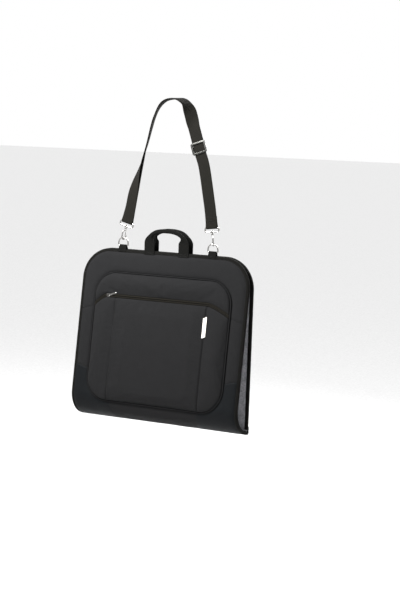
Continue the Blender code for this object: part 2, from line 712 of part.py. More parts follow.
def hook(name, frame, turn):
    """Hook, gate and stud, built about local Z and turned on the swivel."""
    radius = HOOK_INNER / 2 + HOOK_WIRE_R
    centre = -RING_WIRE_R - HOOK_SEAT_GAP + HOOK_INNER / 2
    spun = frame @ Matrix.Rotation(turn, 4, "Z")
    nose = centre + HOOK_NOSE
    shank_top = HOOK_NECK_Z - 0.002
    points = [(0, 0, HOOK_NECK_Z + 0.0015), (0, 0, HOOK_NECK_Z - 0.001)]
    for t in steps(0.0, 1.0, 5):
        ease = t * t * (3 - 2 * t)
        points.append((0, -radius * ease, shank_top + t * (HOOK_SHANK_LOW - shank_top)))
    points += [(0, b, a) for b, a in arc(0, centre, radius, math.pi, 2 * math.pi, 12)]
    points.append((0, radius, nose))
    body = wire(f"{name}_body", points, HOOK_WIRE_R, NICKEL)
    neck = cylinder(f"{name}_neck", HOOK_NECK_R, HOOK_NECK_Z, HOOK_NECK_Z + HOOK_NECK_H, NICKEL)
    boolean(body, neck, "UNION")
    gate_low = nose + HOOK_WIRE_R * 0.3
    inner = radius - HOOK_WIRE_R - GAP - GATE_R
    gate_top = gate_low + GATE_LEN - 0.002
    lug_r = HOOK_WIRE_R * 0.9
    lug_low = gate_top + lug_r + HOOK_LUG_GAP
    lug = wire(f"{name}_lug", [(0, 0, HOOK_NECK_Z),
                               (0, inner * 0.35, lug_low + 0.0028), (0, inner, lug_low)],
               lug_r, NICKEL)
    boolean(body, lug, "UNION")
    bore = cylinder(f"{name}_bore", STUD_BORE_R, HOOK_NECK_Z + 0.0025,
                    HOOK_NECK_Z + HOOK_NECK_H + 0.002, NICKEL)
    boolean(body, bore, "DIFFERENCE")
    body.matrix_world = spun
    neck.matrix_world = spun
    lug.matrix_world = spun
    bore.matrix_world = spun
    head_z = LOOP_BAR_Z + LOOP_BOSS_H / 2 + GAP
    stud = cylinder(f"{name}_stud", STUD_R, HOOK_NECK_Z + 0.0028, head_z + STUD_HEAD_T / 2, NICKEL)
    head = cylinder(f"{name}_head", STUD_HEAD_R, head_z, head_z + STUD_HEAD_T, NICKEL)
    boolean(stud, head, "UNION")
    stud.matrix_world = spun
    head.matrix_world = spun
    gate = cylinder(f"{name}_gate", GATE_R, -GATE_LEN, 0.0, NICKEL, segments=12)
    gate.matrix_world = spun @ Matrix.Translation((0, inner, gate_top))


def swivel_loop(name, frame):
    """The flat loop that holds the webbing, with the swivel's boss."""
    half_w = LOOP_WIDTH / 2 - LOOP_CORNER
    low, high = LOOP_BAR_Z + LOOP_CORNER, LOOP_BAR_Z + LOOP_HEIGHT - LOOP_CORNER
    quarter = math.pi / 2
    points = arc(half_w, low, LOOP_CORNER, -quarter, 0, 4)
    points += arc(half_w, high, LOOP_CORNER, 0, quarter, 4)
    points += arc(-half_w, high, LOOP_CORNER, quarter, 2 * quarter, 4)
    points += arc(-half_w, low, LOOP_CORNER, 2 * quarter, 3 * quarter, 4)
    loop = wire(name, [(a, 0, b) for a, b in points], LOOP_WIRE_R, NICKEL, cyclic=True)
    boss = cylinder(f"{name}_boss", LOOP_BOSS_R, LOOP_BAR_Z - LOOP_BOSS_H / 2,
                    LOOP_BAR_Z + LOOP_BOSS_H / 2, NICKEL)
    boolean(loop, boss, "UNION")
    bore = cylinder(f"{name}_bore", STUD_BORE_R, LOOP_BAR_Z - LOOP_BOSS_H,
                    LOOP_BAR_Z + LOOP_BOSS_H, NICKEL)
    boolean(loop, bore, "DIFFERENCE")
    for obj in (loop, boss, bore):
        obj.matrix_world = frame


def hooks():
    for name, side, lean, turn in (("left", -1, LEFT_LEAN, LEFT_HOOK_TURN),
                                   ("right", 1, RIGHT_LEAN, RIGHT_HOOK_TURN)):
        frame = hook_frame(side, lean)
        hook(f"hook_{name}", frame, turn)
        swivel_loop(f"swivel_loop_{name}", frame)


# ---- shoulder strap ------------------------------------------------------
def strap_end(side, lean):
    frame = hook_frame(side, lean)
    point = frame @ Vector((0, 0, STRAP_BAR_Z))
    return Vector((point.x, point.z)), Vector((math.sin(lean), math.cos(lean)))


def strap_route():
    """Route points in X and Z, from the left loop's bar to the right one's."""
    start, up = strap_end(-1, LEFT_LEAN)
    end, rise = strap_end(1, RIGHT_LEAN)
    route = [start, start + up * STRAIGHT_END]
    for x, z in ((-0.122, 0.180), (-0.103, 0.245), (-0.080, 0.318), (-0.056, 0.400),
                 (-0.027, 0.4435), (0.016, CREST_Z), (0.046, 0.4455), (0.063, 0.420)):
        point = bag(x, 0, z)
        route.append(Vector((point.x, point.z)))
    straight_top = bag(0.0765, 0, 0.380)
    straight_end = bag(0.119, 0, 0.255)
    top = Vector((straight_top.x, straight_top.z))
    bottom = Vector((straight_end.x, straight_end.z))
    route += [top + (bottom - top) * t for t in steps(0, 1, 3)]
    route.append(Vector((bag(0.1365, 0, 0.168).x, bag(0, 0, 0.168).z)))
    route += [end + rise * STRAIGHT_END, end]
    return route, top, (bottom - top).normalized()


def strap_stations(step=0.006):
    """The webbing's middle line, as (point, direction, distance), evenly dense."""
    route, _, _ = strap_route()
    points = []
    for i in range(len(route) - 1):
        p1, p2 = route[i], route[i + 1]
        p0 = route[i - 1] if i else p1 - (p2 - p1)
        p3 = route[i + 2] if i + 2 < len(route) else p2 + (p2 - p1)
        count = max(2, round((p2 - p1).length / step))
        for j in range(count):
            t = j / count
            a = 2 * p1 + (p2 - p0) * t
            b = (2 * p0 - 5 * p1 + 4 * p2 - p3) * t * t
            c = (3 * p1 - p0 - 3 * p2 + p3) * t ** 3
            points.append((a + b + c) / 2)
    points.append(route[-1])
    return points


def twist(fraction):
    """Turn of the webbing about its own line, by the share of its length."""
    marks = ((0.0, 90.0), (0.08, 80.0), (0.24, 28.0), (0.40, 22.0), (0.50, 0.0),
             (0.55, 12.0), (0.60, 56.0), (0.65, 90.0), (1.0, 90.0))
    for (a, low), (b, high) in zip(marks, marks[1:]):
        if fraction <= b:
            t = (fraction - a) / (b - a)
            return math.radians(low + (high - low) * t * t * (3 - 2 * t))
    return math.radians(marks[-1][1])


def strap_frames():
    """Frames (point, along, across, out) from the left loop to the right one."""
    points = strap_stations()
    lengths = [0.0]
    for a, b in zip(points, points[1:]):
        lengths.append(lengths[-1] + (b - a).length)
    frames = []
    for i, point in enumerate(points):
        before = points[max(i - 1, 0)]
        after = points[min(i + 1, len(points) - 1)]
        along = (after - before).normalized()
        along = Vector((along.x, 0, along.y))
        level = Vector((0, 1, 0))
        upward = along.cross(level)
        angle = twist(lengths[i] / lengths[-1])
        across = level * math.cos(angle) + upward * math.sin(angle)
        out = along.cross(across)
        frames.append((Vector((point.x, 0, point.y)), along, across, out))
    return frames


def wrap(frame, direction):
    """Half a turn of webbing round a loop's bar, from one face to the other."""
    point, along, across, out = frame
    radius = LOOP_WIRE_R + GAP + STRAP_T / 2
    turned = []
    for t in steps(-math.pi / 2, math.pi / 2, 10):
        turned.append((point + along * direction * radius * math.cos(t)
                       - out * radius * math.sin(t), across))
    return turned


def ribbon(name, rows, width, thickness, mat):
    verts = []
    for point, across in rows:
        verts += [point - across * width / 2, point + across * width / 2]
    faces = [(2 * i, 2 * i + 1, 2 * i + 3, 2 * i + 2) for i in range(len(rows) - 1)]
    obj = mesh_object(name, verts, faces, mat)
    solid = obj.modifiers.new("thickness", "SOLIDIFY")
    solid.thickness = thickness
    solid.offset = 0.0
    solid.use_even_offset = True
    return obj


def spread(distance):
    """Half the distance between the layers: wide at a loop's bar, then closed."""
    wide = LOOP_WIRE_R + GAP + STRAP_T / 2
    t = min(distance / WRAP_REACH, 1.0)
    return wide + (LAYER_OFFSET - wide) * t * t * (3 - 2 * t)


def slider_frame_at():
    _, top, along = strap_route()
    centre = top + along * SLIDER_ALONG
    return Vector((centre.x, 0, centre.y)), Vector((along.x, 0, along.y))


def shoulder_webbing():
    """One webbing: sewn end, right loop, crest, left loop, back to the slider."""
    frames = strap_frames()
    slider, _ = slider_frame_at()
    lengths = [0.0]
    for a, b in zip(frames, frames[1:]):
        lengths.append(lengths[-1] + (b[0] - a[0]).length)
    total = lengths[-1]
    outer, inner, sewn = [], [], []
    for distance, (point, along, across, out) in zip(lengths, frames):
        ends = min(distance, total - distance)
        half = spread(ends)
        outer.append((point + out * half, across))
        if (point - slider).dot(along) < -(SLIDER_TRAVEL + TAIL_LEN + RETURN_GAP):
            inner.append((point - out * half, across))
        if total - distance < SEWN_END:
            sewn.append((point - out * half, across))
    left = wrap(frames[0], -1)
    right = wrap(frames[-1], 1)
    rows = inner[::-1] + left[-2:0:-1] + outer + right[1:-1] + sewn[::-1]
    return ribbon("shoulder_webbing", rows, STRAP_W, STRAP_T, STRAP)


def strap_slider():
    """Tri-glide on the webbing: a frame outside it and a bar behind it."""
    centre, along = slider_frame_at()
    across = along.cross(Vector((0, 1, 0)))
    out = along.cross(across)
    turn = Matrix((-across, along, out)).transposed().to_4x4()
    place = Matrix.Translation(centre) @ turn
    width, length, height = SLIDER_FRAME
    low = LAYER_OFFSET + STRAP_T / 2 + GAP
    bar_depth = LAYER_OFFSET - STRAP_T / 2 - GAP - SLIDER_BAR_R - STRAP_T - LAYER_GAP
    frame = box("slider_frame", SLIDER_FRAME, (0, 0, low + height / 2), GUNMETAL, bevel=0.0008)
    inner_w = width - 2 * SLIDER_RAIL
    window = box("slider_window", (inner_w, length - 2 * SLIDER_RAIL, 4 * height),
                 (0, 0, low), GUNMETAL)
    boolean(frame, window, "DIFFERENCE")
    cheek_low = bar_depth - SLIDER_BAR_R
    cheek_high = low + height * 0.7
    cheeks = []
    for side in (-1, 1):
        size = (SLIDER_RAIL - 0.001, SLIDER_CHEEK, cheek_high - cheek_low)
        centre_x = side * (inner_w / 2 + SLIDER_RAIL / 2)
        cheeks.append(box("slider_cheek", size, (centre_x, 0, (cheek_low + cheek_high) / 2), GUNMETAL))
        boolean(frame, cheeks[-1], "UNION")
    for obj in (frame, window, *cheeks):
        obj.matrix_world = place
    bar = cylinder("slider_bar", SLIDER_BAR_R, -inner_w / 2, inner_w / 2, GUNMETAL, segments=16)
    lay = Matrix.Rotation(math.pi / 2, 4, "Y")
    bar.matrix_world = place @ Matrix.Translation((0, 0, bar_depth)) @ lay
    radius = SLIDER_BAR_R + GAP + STRAP_T / 2
    rows = [(-TAIL_LEN, bar_depth + radius)]
    rows += [(radius * math.sin(t), bar_depth + radius * math.cos(t)) for t in steps(0, math.pi, 10)]
    rows.append((-TAIL_LEN, bar_depth - radius))
    points = [(place @ Vector((0, a, b)), across) for a, b in rows]
    ribbon("sewn_tail", points, STRAP_W, STRAP_T, STRAP)


# ---- inside --------------------------------------------------------------
def inside():
    """What holds the clothes: a hanger bracket and two elastic straps."""
    depth = -STACK_T - GAP
    bracket = box("hanger_bracket", BRACKET, (0, 0, 0), BOARD, bevel=0.001)
    slot = box("bracket_slot", BRACKET_SLOT, (0, 0, 0), BOARD)
    boolean(bracket, slot, "DIFFERENCE")
    turn = Matrix((Vector((1, 0, 0)), BACK_NORMAL, -BACK_DOWN)).transposed().to_4x4()
    for obj in (bracket, slot):
        obj.matrix_world = Matrix.Translation(back(0, BRACKET_S, depth - BRACKET[1] / 2)) @ turn
    middle = depth - GARMENT_STRAP_T / 2
    for name, s in zip(("upper", "lower"), GARMENT_STRAP_S):
        lines = [((x, s - GARMENT_STRAP_W / 2), (x, s + GARMENT_STRAP_W / 2))
                 for x in (-GARMENT_STRAP_HALF, GARMENT_STRAP_HALF)]
        sheet(f"garment_strap_{name}", at_depth(back, middle), lines, GARMENT_STRAP_T, TRIM)


layers("front", front, FRONT_END, FRONT_FLAT)
layers("back", back, BACK_END, BACK_END)
binding("front", front, FRONT_END + FOLD_END - FOLD_BINDING_END, FRONT_FLAT)
binding("back", back, BACK_END + FOLD_END - FOLD_BINDING_END, BACK_END)
fold_rod()
pocket_upper()
pocket_lower()
pocket_piping()
zip_parts()
zip_slider()
badge()
corner_panels()
handles()
rings()
hooks()
shoulder_webbing()
strap_slider()
inside()
bpy.context.view_layer.update()
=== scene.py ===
"""Looks of the bi-fold garment bag on its shoulder strap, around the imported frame.

Metres.  The world origin is the underside of the strap at its crest.  The bag's
own frame starts at the middle of its top edge: see bag(), front() and back(),
which place every cloth piece on the frame's two halves.
"""
import math

import bmesh
import bpy
from mathutils import Matrix, Vector, noise


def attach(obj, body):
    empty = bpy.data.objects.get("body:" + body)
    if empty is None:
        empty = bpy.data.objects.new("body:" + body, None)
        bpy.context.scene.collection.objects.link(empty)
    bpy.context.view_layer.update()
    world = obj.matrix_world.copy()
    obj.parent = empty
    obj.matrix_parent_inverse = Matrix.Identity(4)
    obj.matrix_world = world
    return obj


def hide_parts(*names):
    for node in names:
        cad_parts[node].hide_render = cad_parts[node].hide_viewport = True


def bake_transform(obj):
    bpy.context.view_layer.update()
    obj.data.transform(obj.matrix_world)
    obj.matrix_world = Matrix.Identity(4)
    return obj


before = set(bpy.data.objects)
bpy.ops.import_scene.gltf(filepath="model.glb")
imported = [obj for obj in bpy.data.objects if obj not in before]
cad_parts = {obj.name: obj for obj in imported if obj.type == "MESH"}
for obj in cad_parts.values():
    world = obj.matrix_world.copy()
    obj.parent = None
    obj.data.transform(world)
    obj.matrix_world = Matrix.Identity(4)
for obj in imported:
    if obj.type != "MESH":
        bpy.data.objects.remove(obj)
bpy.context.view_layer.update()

# ---- sizes of the frame ---------------------------------------------------
BAG_X = -0.016
BAG_WIDTH = 0.575
BAG_HEIGHT = 0.510
CORNER_RADIUS = 0.090
BOTTOM_RADIUS = 0.070
FRONT_LEAN = math.radians(8.0)
FOLD_ANGLE = math.radians(85.0)
HALVES_GAP = 0.0035
GAP = 0.0003
STACK_T = 0.0066            # shell, foam, board and lining together
LINING_T = 0.0007
BINDING_T = 0.0012
BINDING_LEG = 0.0080
FOLD_END = 0.0054
FOLD_BINDING_END = 0.0095

POCKET_HALF_W = 0.233
POCKET_TOP = 0.071
POCKET_RADIUS = 0.070
POCKET_FOOT = 0.0934
POCKET_T = 0.0040
PIPING_R = 0.0018
ZIP_S = 0.1405
ZIP_STRAIGHT = (0.190, 0.157)    # straight stretch to the left and to the right
ZIP_SIDE_DROP = 0.030
ZIP_GAP_HALF = 0.0062
ZIP_SLIDER_X = -0.187
ZIP_SLIDER = (0.0130, 0.0078, 0.0022)
PULL = (0.0287, 0.0046)     # reach and width of the pull tab
PULL_LIFT = 0.0012
ZIP_SLIDER_LOW = 0.0033     # underside of the slider above the shell
PULL_RISE = math.radians(20.0)
SEAM_X = 0.158
PANEL_RISE = 0.090
BADGE = (0.0112, 0.062, 0.0012)
BADGE_S = 0.209
BADGE_SLANT = 0.0045
BADGE_CORNER = 0.0016

HANDLE_X = 0.059
HANDLE_TOP = 0.064
LEG_W = 0.035
LEG_T = 0.0014
GRIP_W = 0.0125
GRIP_T = 0.0115
PATCH_DROP = 0.010

RING_X = 0.155
RING_WIRE_R = 0.0020
RING_WIDTH = 0.0330
RING_HEIGHT = 0.0240
RING_BAR_Z = 0.0118
TAB_W = 0.026
TAB_T = 0.0012
TAB_DROP = 0.007
HOOK_WIRE_R = 0.0019
HOOK_INNER = 0.0098
HOOK_SEAT_GAP = 0.0011
HOOK_SHANK_LOW = 0.0170
HOOK_NOSE = 0.0055
HOOK_LUG_GAP = 0.0005
HOOK_NECK_Z = 0.0270
HOOK_NECK_H = 0.0060
HOOK_NECK_R = 0.0040
STUD_R = 0.0018
STUD_HEAD_R = 0.0034
STUD_HEAD_T = 0.0013
GATE_R = 0.0014
GATE_LEN = 0.0125
LOOP_WIRE_R = 0.0022
LOOP_SLACK = 0.0016
LOOP_HEIGHT = 0.0126
LOOP_CORNER = 0.0045
LOOP_BOSS_R = 0.0044
LOOP_BOSS_H = 0.0054
LEFT_LEAN = math.radians(14.0)
RIGHT_LEAN = math.radians(-7.0)
LEFT_HOOK_TURN = math.radians(-28.0)
RIGHT_HOOK_TURN = math.radians(38.0)

STRAP_W = 0.038
STRAP_T = 0.0018
LAYER_GAP = 0.0004
CREST_Z = 0.4545
SEWN_END = 0.036
SLIDER_ALONG = 0.070
SLIDER_TRAVEL = 0.025
SLIDER_BAR_R = 0.0019
SLIDER_LENGTH = 0.0340
SLIDER_HEIGHT = 0.0030
SLIDER_RAIL = 0.0040
SLIDER_SLACK = 0.0005
TAIL_LEN = 0.018
STRAIGHT_END = 0.045
RETURN_GAP = 0.012
WRAP_REACH = 0.016

BRACKET_S = 0.060
GARMENT_STRAP_W = 0.025
GARMENT_STRAP_T = 0.0012
GARMENT_STRAP_HALF = 0.215
GARMENT_STRAP_S = (0.200, 0.360)

LOOP_WIDTH = STRAP_W + 2 * (LOOP_WIRE_R + LOOP_SLACK)
LAYER_OFFSET = (STRAP_T + LAYER_GAP) / 2
BAG_TOP_Z = -(CREST_Z - LAYER_OFFSET - STRAP_T / 2)
LOOP_BAR_Z = HOOK_NECK_Z + HOOK_NECK_H + GAP + LOOP_BOSS_H / 2
STRAP_BAR_Z = LOOP_BAR_Z + LOOP_HEIGHT
RING_TOP_Z = RING_BAR_Z + RING_HEIGHT
EDGE_OUT = GAP + BINDING_T
HALF_W = BAG_WIDTH / 2 - EDGE_OUT
FRONT_OUT_Y = -STACK_T / 2
BACK_MID_Y = STACK_T + 2 * EDGE_OUT + HALVES_GAP
FRONT_CURVE = FRONT_LEAN + FOLD_ANGLE
CURVE_DROP = BOTTOM_RADIUS * (math.sin(FOLD_ANGLE) + math.sin(FRONT_LEAN))
FRONT_FLAT = (BAG_HEIGHT - CURVE_DROP) / math.cos(FRONT_LEAN)
FRONT_END = FRONT_FLAT + BOTTOM_RADIUS * FRONT_CURVE
POCKET_BOTTOM = FRONT_END - POCKET_FOOT
PANEL_TOP = POCKET_BOTTOM - PANEL_RISE

# ---- sizes of the looks ---------------------------------------------------
BAND_PUFF = 0.0040          # padded band round the pocket
UPPER_PUFF = 0.0075         # pocket above the zip
LOWER_PUFF = 0.0080         # pocket below the zip
SKIN = 0.0008               # smooth lower corner skins
STITCH = (0.0027, 0.00042)  # length and half width of a stitch
STITCH_PITCH = 0.0041
STITCH_IN = 0.003           # long seams' stitches beside the seam
STITCH_LIFT = 0.0002
LINING_CELLS = 90
CLOTH_FRAMES = 20           # the pocket's cloth simulation
CLOTH_BEND = 1.5
CLOTH_EASE = 0.002          # spare cloth, as a share of its length
CLOTH_PRESSURE = 1.2
CLOTH_CAP = 0.004


SIDES = (("left", -1), ("right", 1))


def bag(x, y, z):
    """A point in the bag's frame, in world coordinates."""
    return Vector((x + BAG_X, y, z + BAG_TOP_Z))


def front(x, s, n):
    """A point of the front half: x across, s down from the top edge, n out."""
    turn = min(max((s - FRONT_FLAT) / BOTTOM_RADIUS, 0.0), FRONT_CURVE)
    flat = min(s, FRONT_FLAT)
    past = max(s - FRONT_END, 0.0)
    angle = turn - FRONT_LEAN
    y = FRONT_OUT_Y - flat * math.sin(FRONT_LEAN)
    z = -flat * math.cos(FRONT_LEAN)
    y += BOTTOM_RADIUS * (math.cos(FRONT_LEAN) - math.cos(angle))
    z -= BOTTOM_RADIUS * (math.sin(angle) + math.sin(FRONT_LEAN))
    y += past * math.sin(angle) - n * math.cos(angle)
    z -= past * math.cos(angle) + n * math.sin(angle)
    return bag(x, y, z)


FOLD_CENTRE = front(-BAG_X, FRONT_END + FOLD_END, -STACK_T / 2)
BACK_MID_TOP = bag(-BAG_X, BACK_MID_Y, 0.0)
BACK_LINE = FOLD_CENTRE - BACK_MID_TOP
BACK_DOWN = BACK_LINE.normalized()
BACK_NORMAL = Vector((0.0, -BACK_DOWN.z, BACK_DOWN.y))
BACK_END = BACK_LINE.length - FOLD_END


def back(x, s, n):
    """A point of the back half, in the same terms as front()."""
    out = n + STACK_T / 2
    return BACK_MID_TOP + Vector((x + BAG_X, 0, 0)) + BACK_DOWN * s + BACK_NORMAL * out


def steps(first, last, count):
    return [first + (last - first) * i / count for i in range(count + 1)]


def smooth(t):
    t = min(max(t, 0.0), 1.0)
    return t * t * (3 - 2 * t)


def bulge(t):
    """A quarter circle from 0 at t = 0 to 1 at t = 1, then level."""
    t = min(max(t, 0.0), 1.0)
    return math.sqrt(1.0 - (1.0 - t) ** 2)


def half_width(s, half_w, radius):
    """Half the width at s of an outline with rounded top corners."""
    if s >= radius:
        return half_w
    drop = radius - s
    return half_w - radius + math.sqrt(max(radius * radius - drop * drop, 0.0))


def box_distance(x, s, half_w, top, bottom, radius):
    """Distance outside a rounded box on the front; negative inside it."""
    a = abs(x) - half_w + radius
    b = abs(s - (top + bottom) / 2) - (bottom - top) / 2 + radius
    return math.hypot(max(a, 0.0), max(b, 0.0)) + min(max(a, b), 0.0) - radius


def half_chart(end, half_w):
    """Chart of a whole half, from its top edge down to the given end."""
    def chart(u, v):
        return (2 * u - 1) * half_width(v * end, half_w, CORNER_RADIUS), v * end

    return chart


def groove(distance, width, depth):
    return depth * math.exp(-(distance / width) ** 2)


def wander(x, s, scale, seed):
    """Slow unevenness of sewn cloth, between about -1 and 1."""
    return noise.noise(Vector((x * scale, s * scale, seed)))


# ---- materials ------------------------------------------------------------
class Nodes:
    """A material's nodes, built in the order they feed each other."""

    def __init__(self, name, **sockets):
        self.mat = bpy.data.materials.new(name)
        self.mat.use_nodes = True
        self.tree = self.mat.node_tree
        self.shader = self.tree.nodes["Principled BSDF"]
        for key, value in sockets.items():
            self.shader.inputs[key.replace("_", " ")].default_value = value

    def add(self, kind, **values):
        node = self.tree.nodes.new("ShaderNode" + kind)
        for key, value in values.items():
            setattr(node, key, value)
        return node

    def link(self, source, target):
        self.tree.links.new(source, target)

    def math(self, operation, first, second=0.5):
        node = self.add("Math", operation=operation)
        for slot, value in zip(node.inputs, (first, second)):
            if isinstance(value, (int, float)):
                slot.default_value = value
            else:
                self.link(value, slot)
        return node.outputs[0]

    def noise(self, coordinates, scale, detail=3.0, roughness=0.55):
        node = self.add("TexNoise")
        node.inputs["Scale"].default_value = scale
        node.inputs["Detail"].default_value = detail
        node.inputs["Roughness"].default_value = roughness
        self.link(coordinates, node.inputs["Vector"])
        return node.outputs["Fac"]

    def ramp(self, value, low, high, first, last):
        node = self.add("MapRange")
        for key, number in (("From Min", low), ("From Max", high), ("To Min", first), ("To Max", last)):
            node.inputs[key].default_value = number
        self.link(value, node.inputs["Value"])
        return node.outputs["Result"]

    def blend(self, factor, dark, light):
        node = self.add("Mix", data_type="RGBA")
        node.inputs["A"].default_value = (*dark, 1.0)
        node.inputs["B"].default_value = (*light, 1.0)
        self.link(factor, node.inputs["Factor"])
        return node.outputs["Result"]

    def bump(self, height, distance, strength=1.0):
        node = self.add("Bump")
        node.inputs["Strength"].default_value = strength
        node.inputs["Distance"].default_value = distance
        self.link(height, node.inputs["Height"])
        self.link(node.outputs["Normal"], self.shader.inputs["Normal"])


def shade(color, share):
    return tuple(channel * share for channel in color)


def cloth(name, color, period, pattern, contrast=0.25, mottle=0.12, rough=0.82,
          relief=0.00012, sheen=0.008):
    """Woven cloth: threads along the UV map, which is in metres."""
    n = Nodes(name, Roughness=rough, Sheen_Weight=sheen, Sheen_Roughness=0.45,
              Specular_IOR_Level=0.03)
    uv = n.add("UVMap", uv_map="Weave").outputs["UV"]
    place = n.add("TexCoord").outputs["Object"]
    axes = n.add("SeparateXYZ")
    n.link(uv, axes.inputs[0])
    rate = 2 * math.pi / period
    across = n.math("SINE", n.math("MULTIPLY", axes.outputs["X"], rate))
    along = n.math("SINE", n.math("MULTIPLY", axes.outputs["Y"], rate))
    if pattern == "plain":
        threads = n.math("MULTIPLY", across, along)
    elif pattern == "twill":
        both = n.math("ADD", axes.outputs["X"], axes.outputs["Y"])
        threads = n.math("SINE", n.math("MULTIPLY", both, rate))
    else:
        fine = n.math("MULTIPLY", across, 0.35)
        threads = n.math("ADD", n.math("MULTIPLY", along, 0.65), fine)
    level = n.ramp(threads, -1.0, 1.0, 0.5 - contrast, 0.5 + contrast)
    patches = n.ramp(n.noise(place, 55.0), 0.3, 0.7, -mottle, mottle)
    slubs = n.ramp(n.noise(place, 900.0, 2.0), 0.25, 0.75, -mottle, mottle)
    level = n.math("ADD", n.math("ADD", level, patches), slubs)
    n.link(n.blend(level, shade(color, 0.70), shade(color, 1.30)), n.shader.inputs["Base Color"])
    n.link(n.ramp(patches, -mottle, mottle, rough - 0.05, rough + 0.05), n.shader.inputs["Roughness"])
    n.bump(n.math("ADD", threads, n.math("MULTIPLY", slubs, 2.0)), relief)
    return n.mat


def melange(name, dark, light):
    """Knitted lining: two yarns that mingle."""
    n = Nodes(name, Roughness=0.9, Sheen_Weight=0.03, Sheen_Roughness=0.5, Specular_IOR_Level=0.06)
    place = n.add("TexCoord").outputs["Object"]
    yarn = n.ramp(n.noise(place, 420.0, 4.0, 0.7), 0.36, 0.64, 0.0, 1.0)
    cloud = n.ramp(n.noise(place, 60.0), 0.3, 0.7, -0.25, 0.25)
    n.link(n.blend(n.math("ADD", yarn, cloud), dark, light), n.shader.inputs["Base Color"])
    n.bump(yarn, 0.0002)
    return n.mat


def metal(name, color, rough, scratches=0.10, metallic=1.0):
    """Plated metal with handling marks."""
    n = Nodes(name, Metallic=metallic, Roughness=rough)
    place = n.add("TexCoord").outputs["Object"]
    marks = n.noise(place, 260.0, 5.0, 0.65)
    tarnish = n.noise(place, 70.0)
    n.link(n.blend(tarnish, shade(color, 0.86), shade(color, 1.08)), n.shader.inputs["Base Color"])
    n.link(n.ramp(marks, 0.3, 0.7, max(rough - scratches, 0.05), rough + scratches),
           n.shader.inputs["Roughness"])
    n.bump(marks, 0.00004)
    return n.mat


def plastic(name, color, rough, gloss):
    n = Nodes(name, Roughness=rough, Specular_IOR_Level=gloss)
    place = n.add("TexCoord").outputs["Object"]
    grain = n.noise(place, 1400.0, 2.0)
    n.link(n.blend(n.noise(place, 90.0), shade(color, 0.85), shade(color, 1.15)),
           n.shader.inputs["Base Color"])
    n.bump(grain, 0.00006)
    return n.mat


SHELL = cloth("shell_cloth", (0.0074, 0.0074, 0.0077), 0.0011, "plain")
SMOOTH = cloth("corner_cloth", (0.0039, 0.0044, 0.0049), 0.0007, "plain", 0.12, 0.08, 0.62,
               0.00005, 0.01)
TRIM = cloth("trim_twill", (0.0034, 0.0033, 0.0029), 0.0014, "twill", 0.30)
WEBBING = cloth("handle_webbing", (0.0027, 0.0027, 0.0024), 0.0016, "rib", 0.30, relief=0.0002)
STRAP = cloth("strap_webbing", (0.0051, 0.0048, 0.0040), 0.0017, "rib", 0.30, relief=0.0002)
ZIP_CLOTH = cloth("zip_tape", (0.0073, 0.0066, 0.0052), 0.0012, "twill", 0.30)
LINING = melange("lining_melange", (0.1344, 0.1344, 0.1440), (0.3360, 0.3360, 0.3552))
THREAD = plastic("thread", (0.0076, 0.0076, 0.0071), 0.8, 0.1)
# Matte black for the seam lines: painted shadow standing in for the shade in the seams beside the welt and
# the zip.
SEAM_SHADOW = plastic("seam_painted_shadow", (0.0025, 0.0025, 0.0025), 0.95, 0.0)
COIL = plastic("coil_nylon", (0.008, 0.008, 0.008), 0.5, 0.2)
BOARD = plastic("bracket_plastic", (0.012, 0.012, 0.013), 0.5, 0.4)
NICKEL = metal("nickel", (0.300, 0.294, 0.284), 0.20)
GUNMETAL = metal("gunmetal", (0.0420, 0.0420, 0.0392), 0.32)
SATIN = metal("badge_satin", (0.60, 0.57, 0.53), 0.42, 0.06, 0.25)


# ---- building blocks ------------------------------------------------------
def dress(obj, mat, body, replaced=(), sharp=40.0):
    """Gives a piece its finish, its body and the CAD nodes it stands for."""
    obj.data.materials.clear()
    obj.data.materials.append(mat)
    if obj.type == "MESH":
        obj.data.shade_smooth()
        obj.data.set_sharp_from_angle(angle=math.radians(sharp))
    if body:
        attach(obj, body)
    if replaced:
        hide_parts(*replaced)
    return obj


def mesh_piece(name, verts, faces, marks=None):
    """A mesh with outward normals; marks are its UVs in metres, per vertex."""
    mesh = bpy.data.meshes.new(name)
    mesh.from_pydata([tuple(v) for v in verts], [], faces)
    work = bmesh.new()
    work.from_mesh(mesh)
    bmesh.ops.recalc_face_normals(work, faces=work.faces)
    work.to_mesh(mesh)
    work.free()
    layer = mesh.uv_layers.new(name="Weave")
    for loop in mesh.loops:
        if marks:
            layer.data[loop.index].uv = marks[loop.vertex_index]
        else:
            place = mesh.vertices[loop.vertex_index].co
            layer.data[loop.index].uv = (place.x, place.z)
    obj = bpy.data.objects.new(name, mesh)
    bpy.context.scene.collection.objects.link(obj)
    return obj


def closed_grid(name, top, bottom, marks):
    """A closed sheet from two grids of points, outer and inner."""
    rows, cols = len(top), len(top[0])
    count = rows * cols
    verts = [p for row in top for p in row] + [p for row in bottom for p in row]
    faces = []
    for i in range(rows - 1):
        for j in range(cols - 1):
            a = i * cols + j
            faces.append((a, a + 1, a + cols + 1, a + cols))
            faces.append((count + a, count + a + cols, count + a + cols + 1, count + a + 1))
    rim = list(range(cols))
    rim += [i * cols + cols - 1 for i in range(1, rows)]
    rim += [(rows - 1) * cols + j for j in range(cols - 2, -1, -1)]
    rim += [i * cols for i in range(rows - 2, 0, -1)]
    for a, b in zip(rim, rim[1:] + rim[:1]):
        faces.append((b, a, count + a, count + b))
    return mesh_piece(name, verts, faces, marks * 2)


def panel(name, surface, chart, height, depth, rows, cols, pins=None):
    """Cloth on a half: chart gives (x, s), height its outer face, depth the inner."""
    spots = [[chart(j / cols, i / rows) for j in range(cols + 1)] for i in range(rows + 1)]
    top = [[surface(x, s, height(x, s)) for x, s in row] for row in spots]
    if pins:
        top = settle(top, [[pins(x, s) for x, s in row] for row in spots])
    bottom = [[surface(x, s, min(depth, height(x, s) - 0.0004)) for x, s in row] for row in spots]
    return closed_grid(name, top, bottom, [spot for row in spots for spot in row])


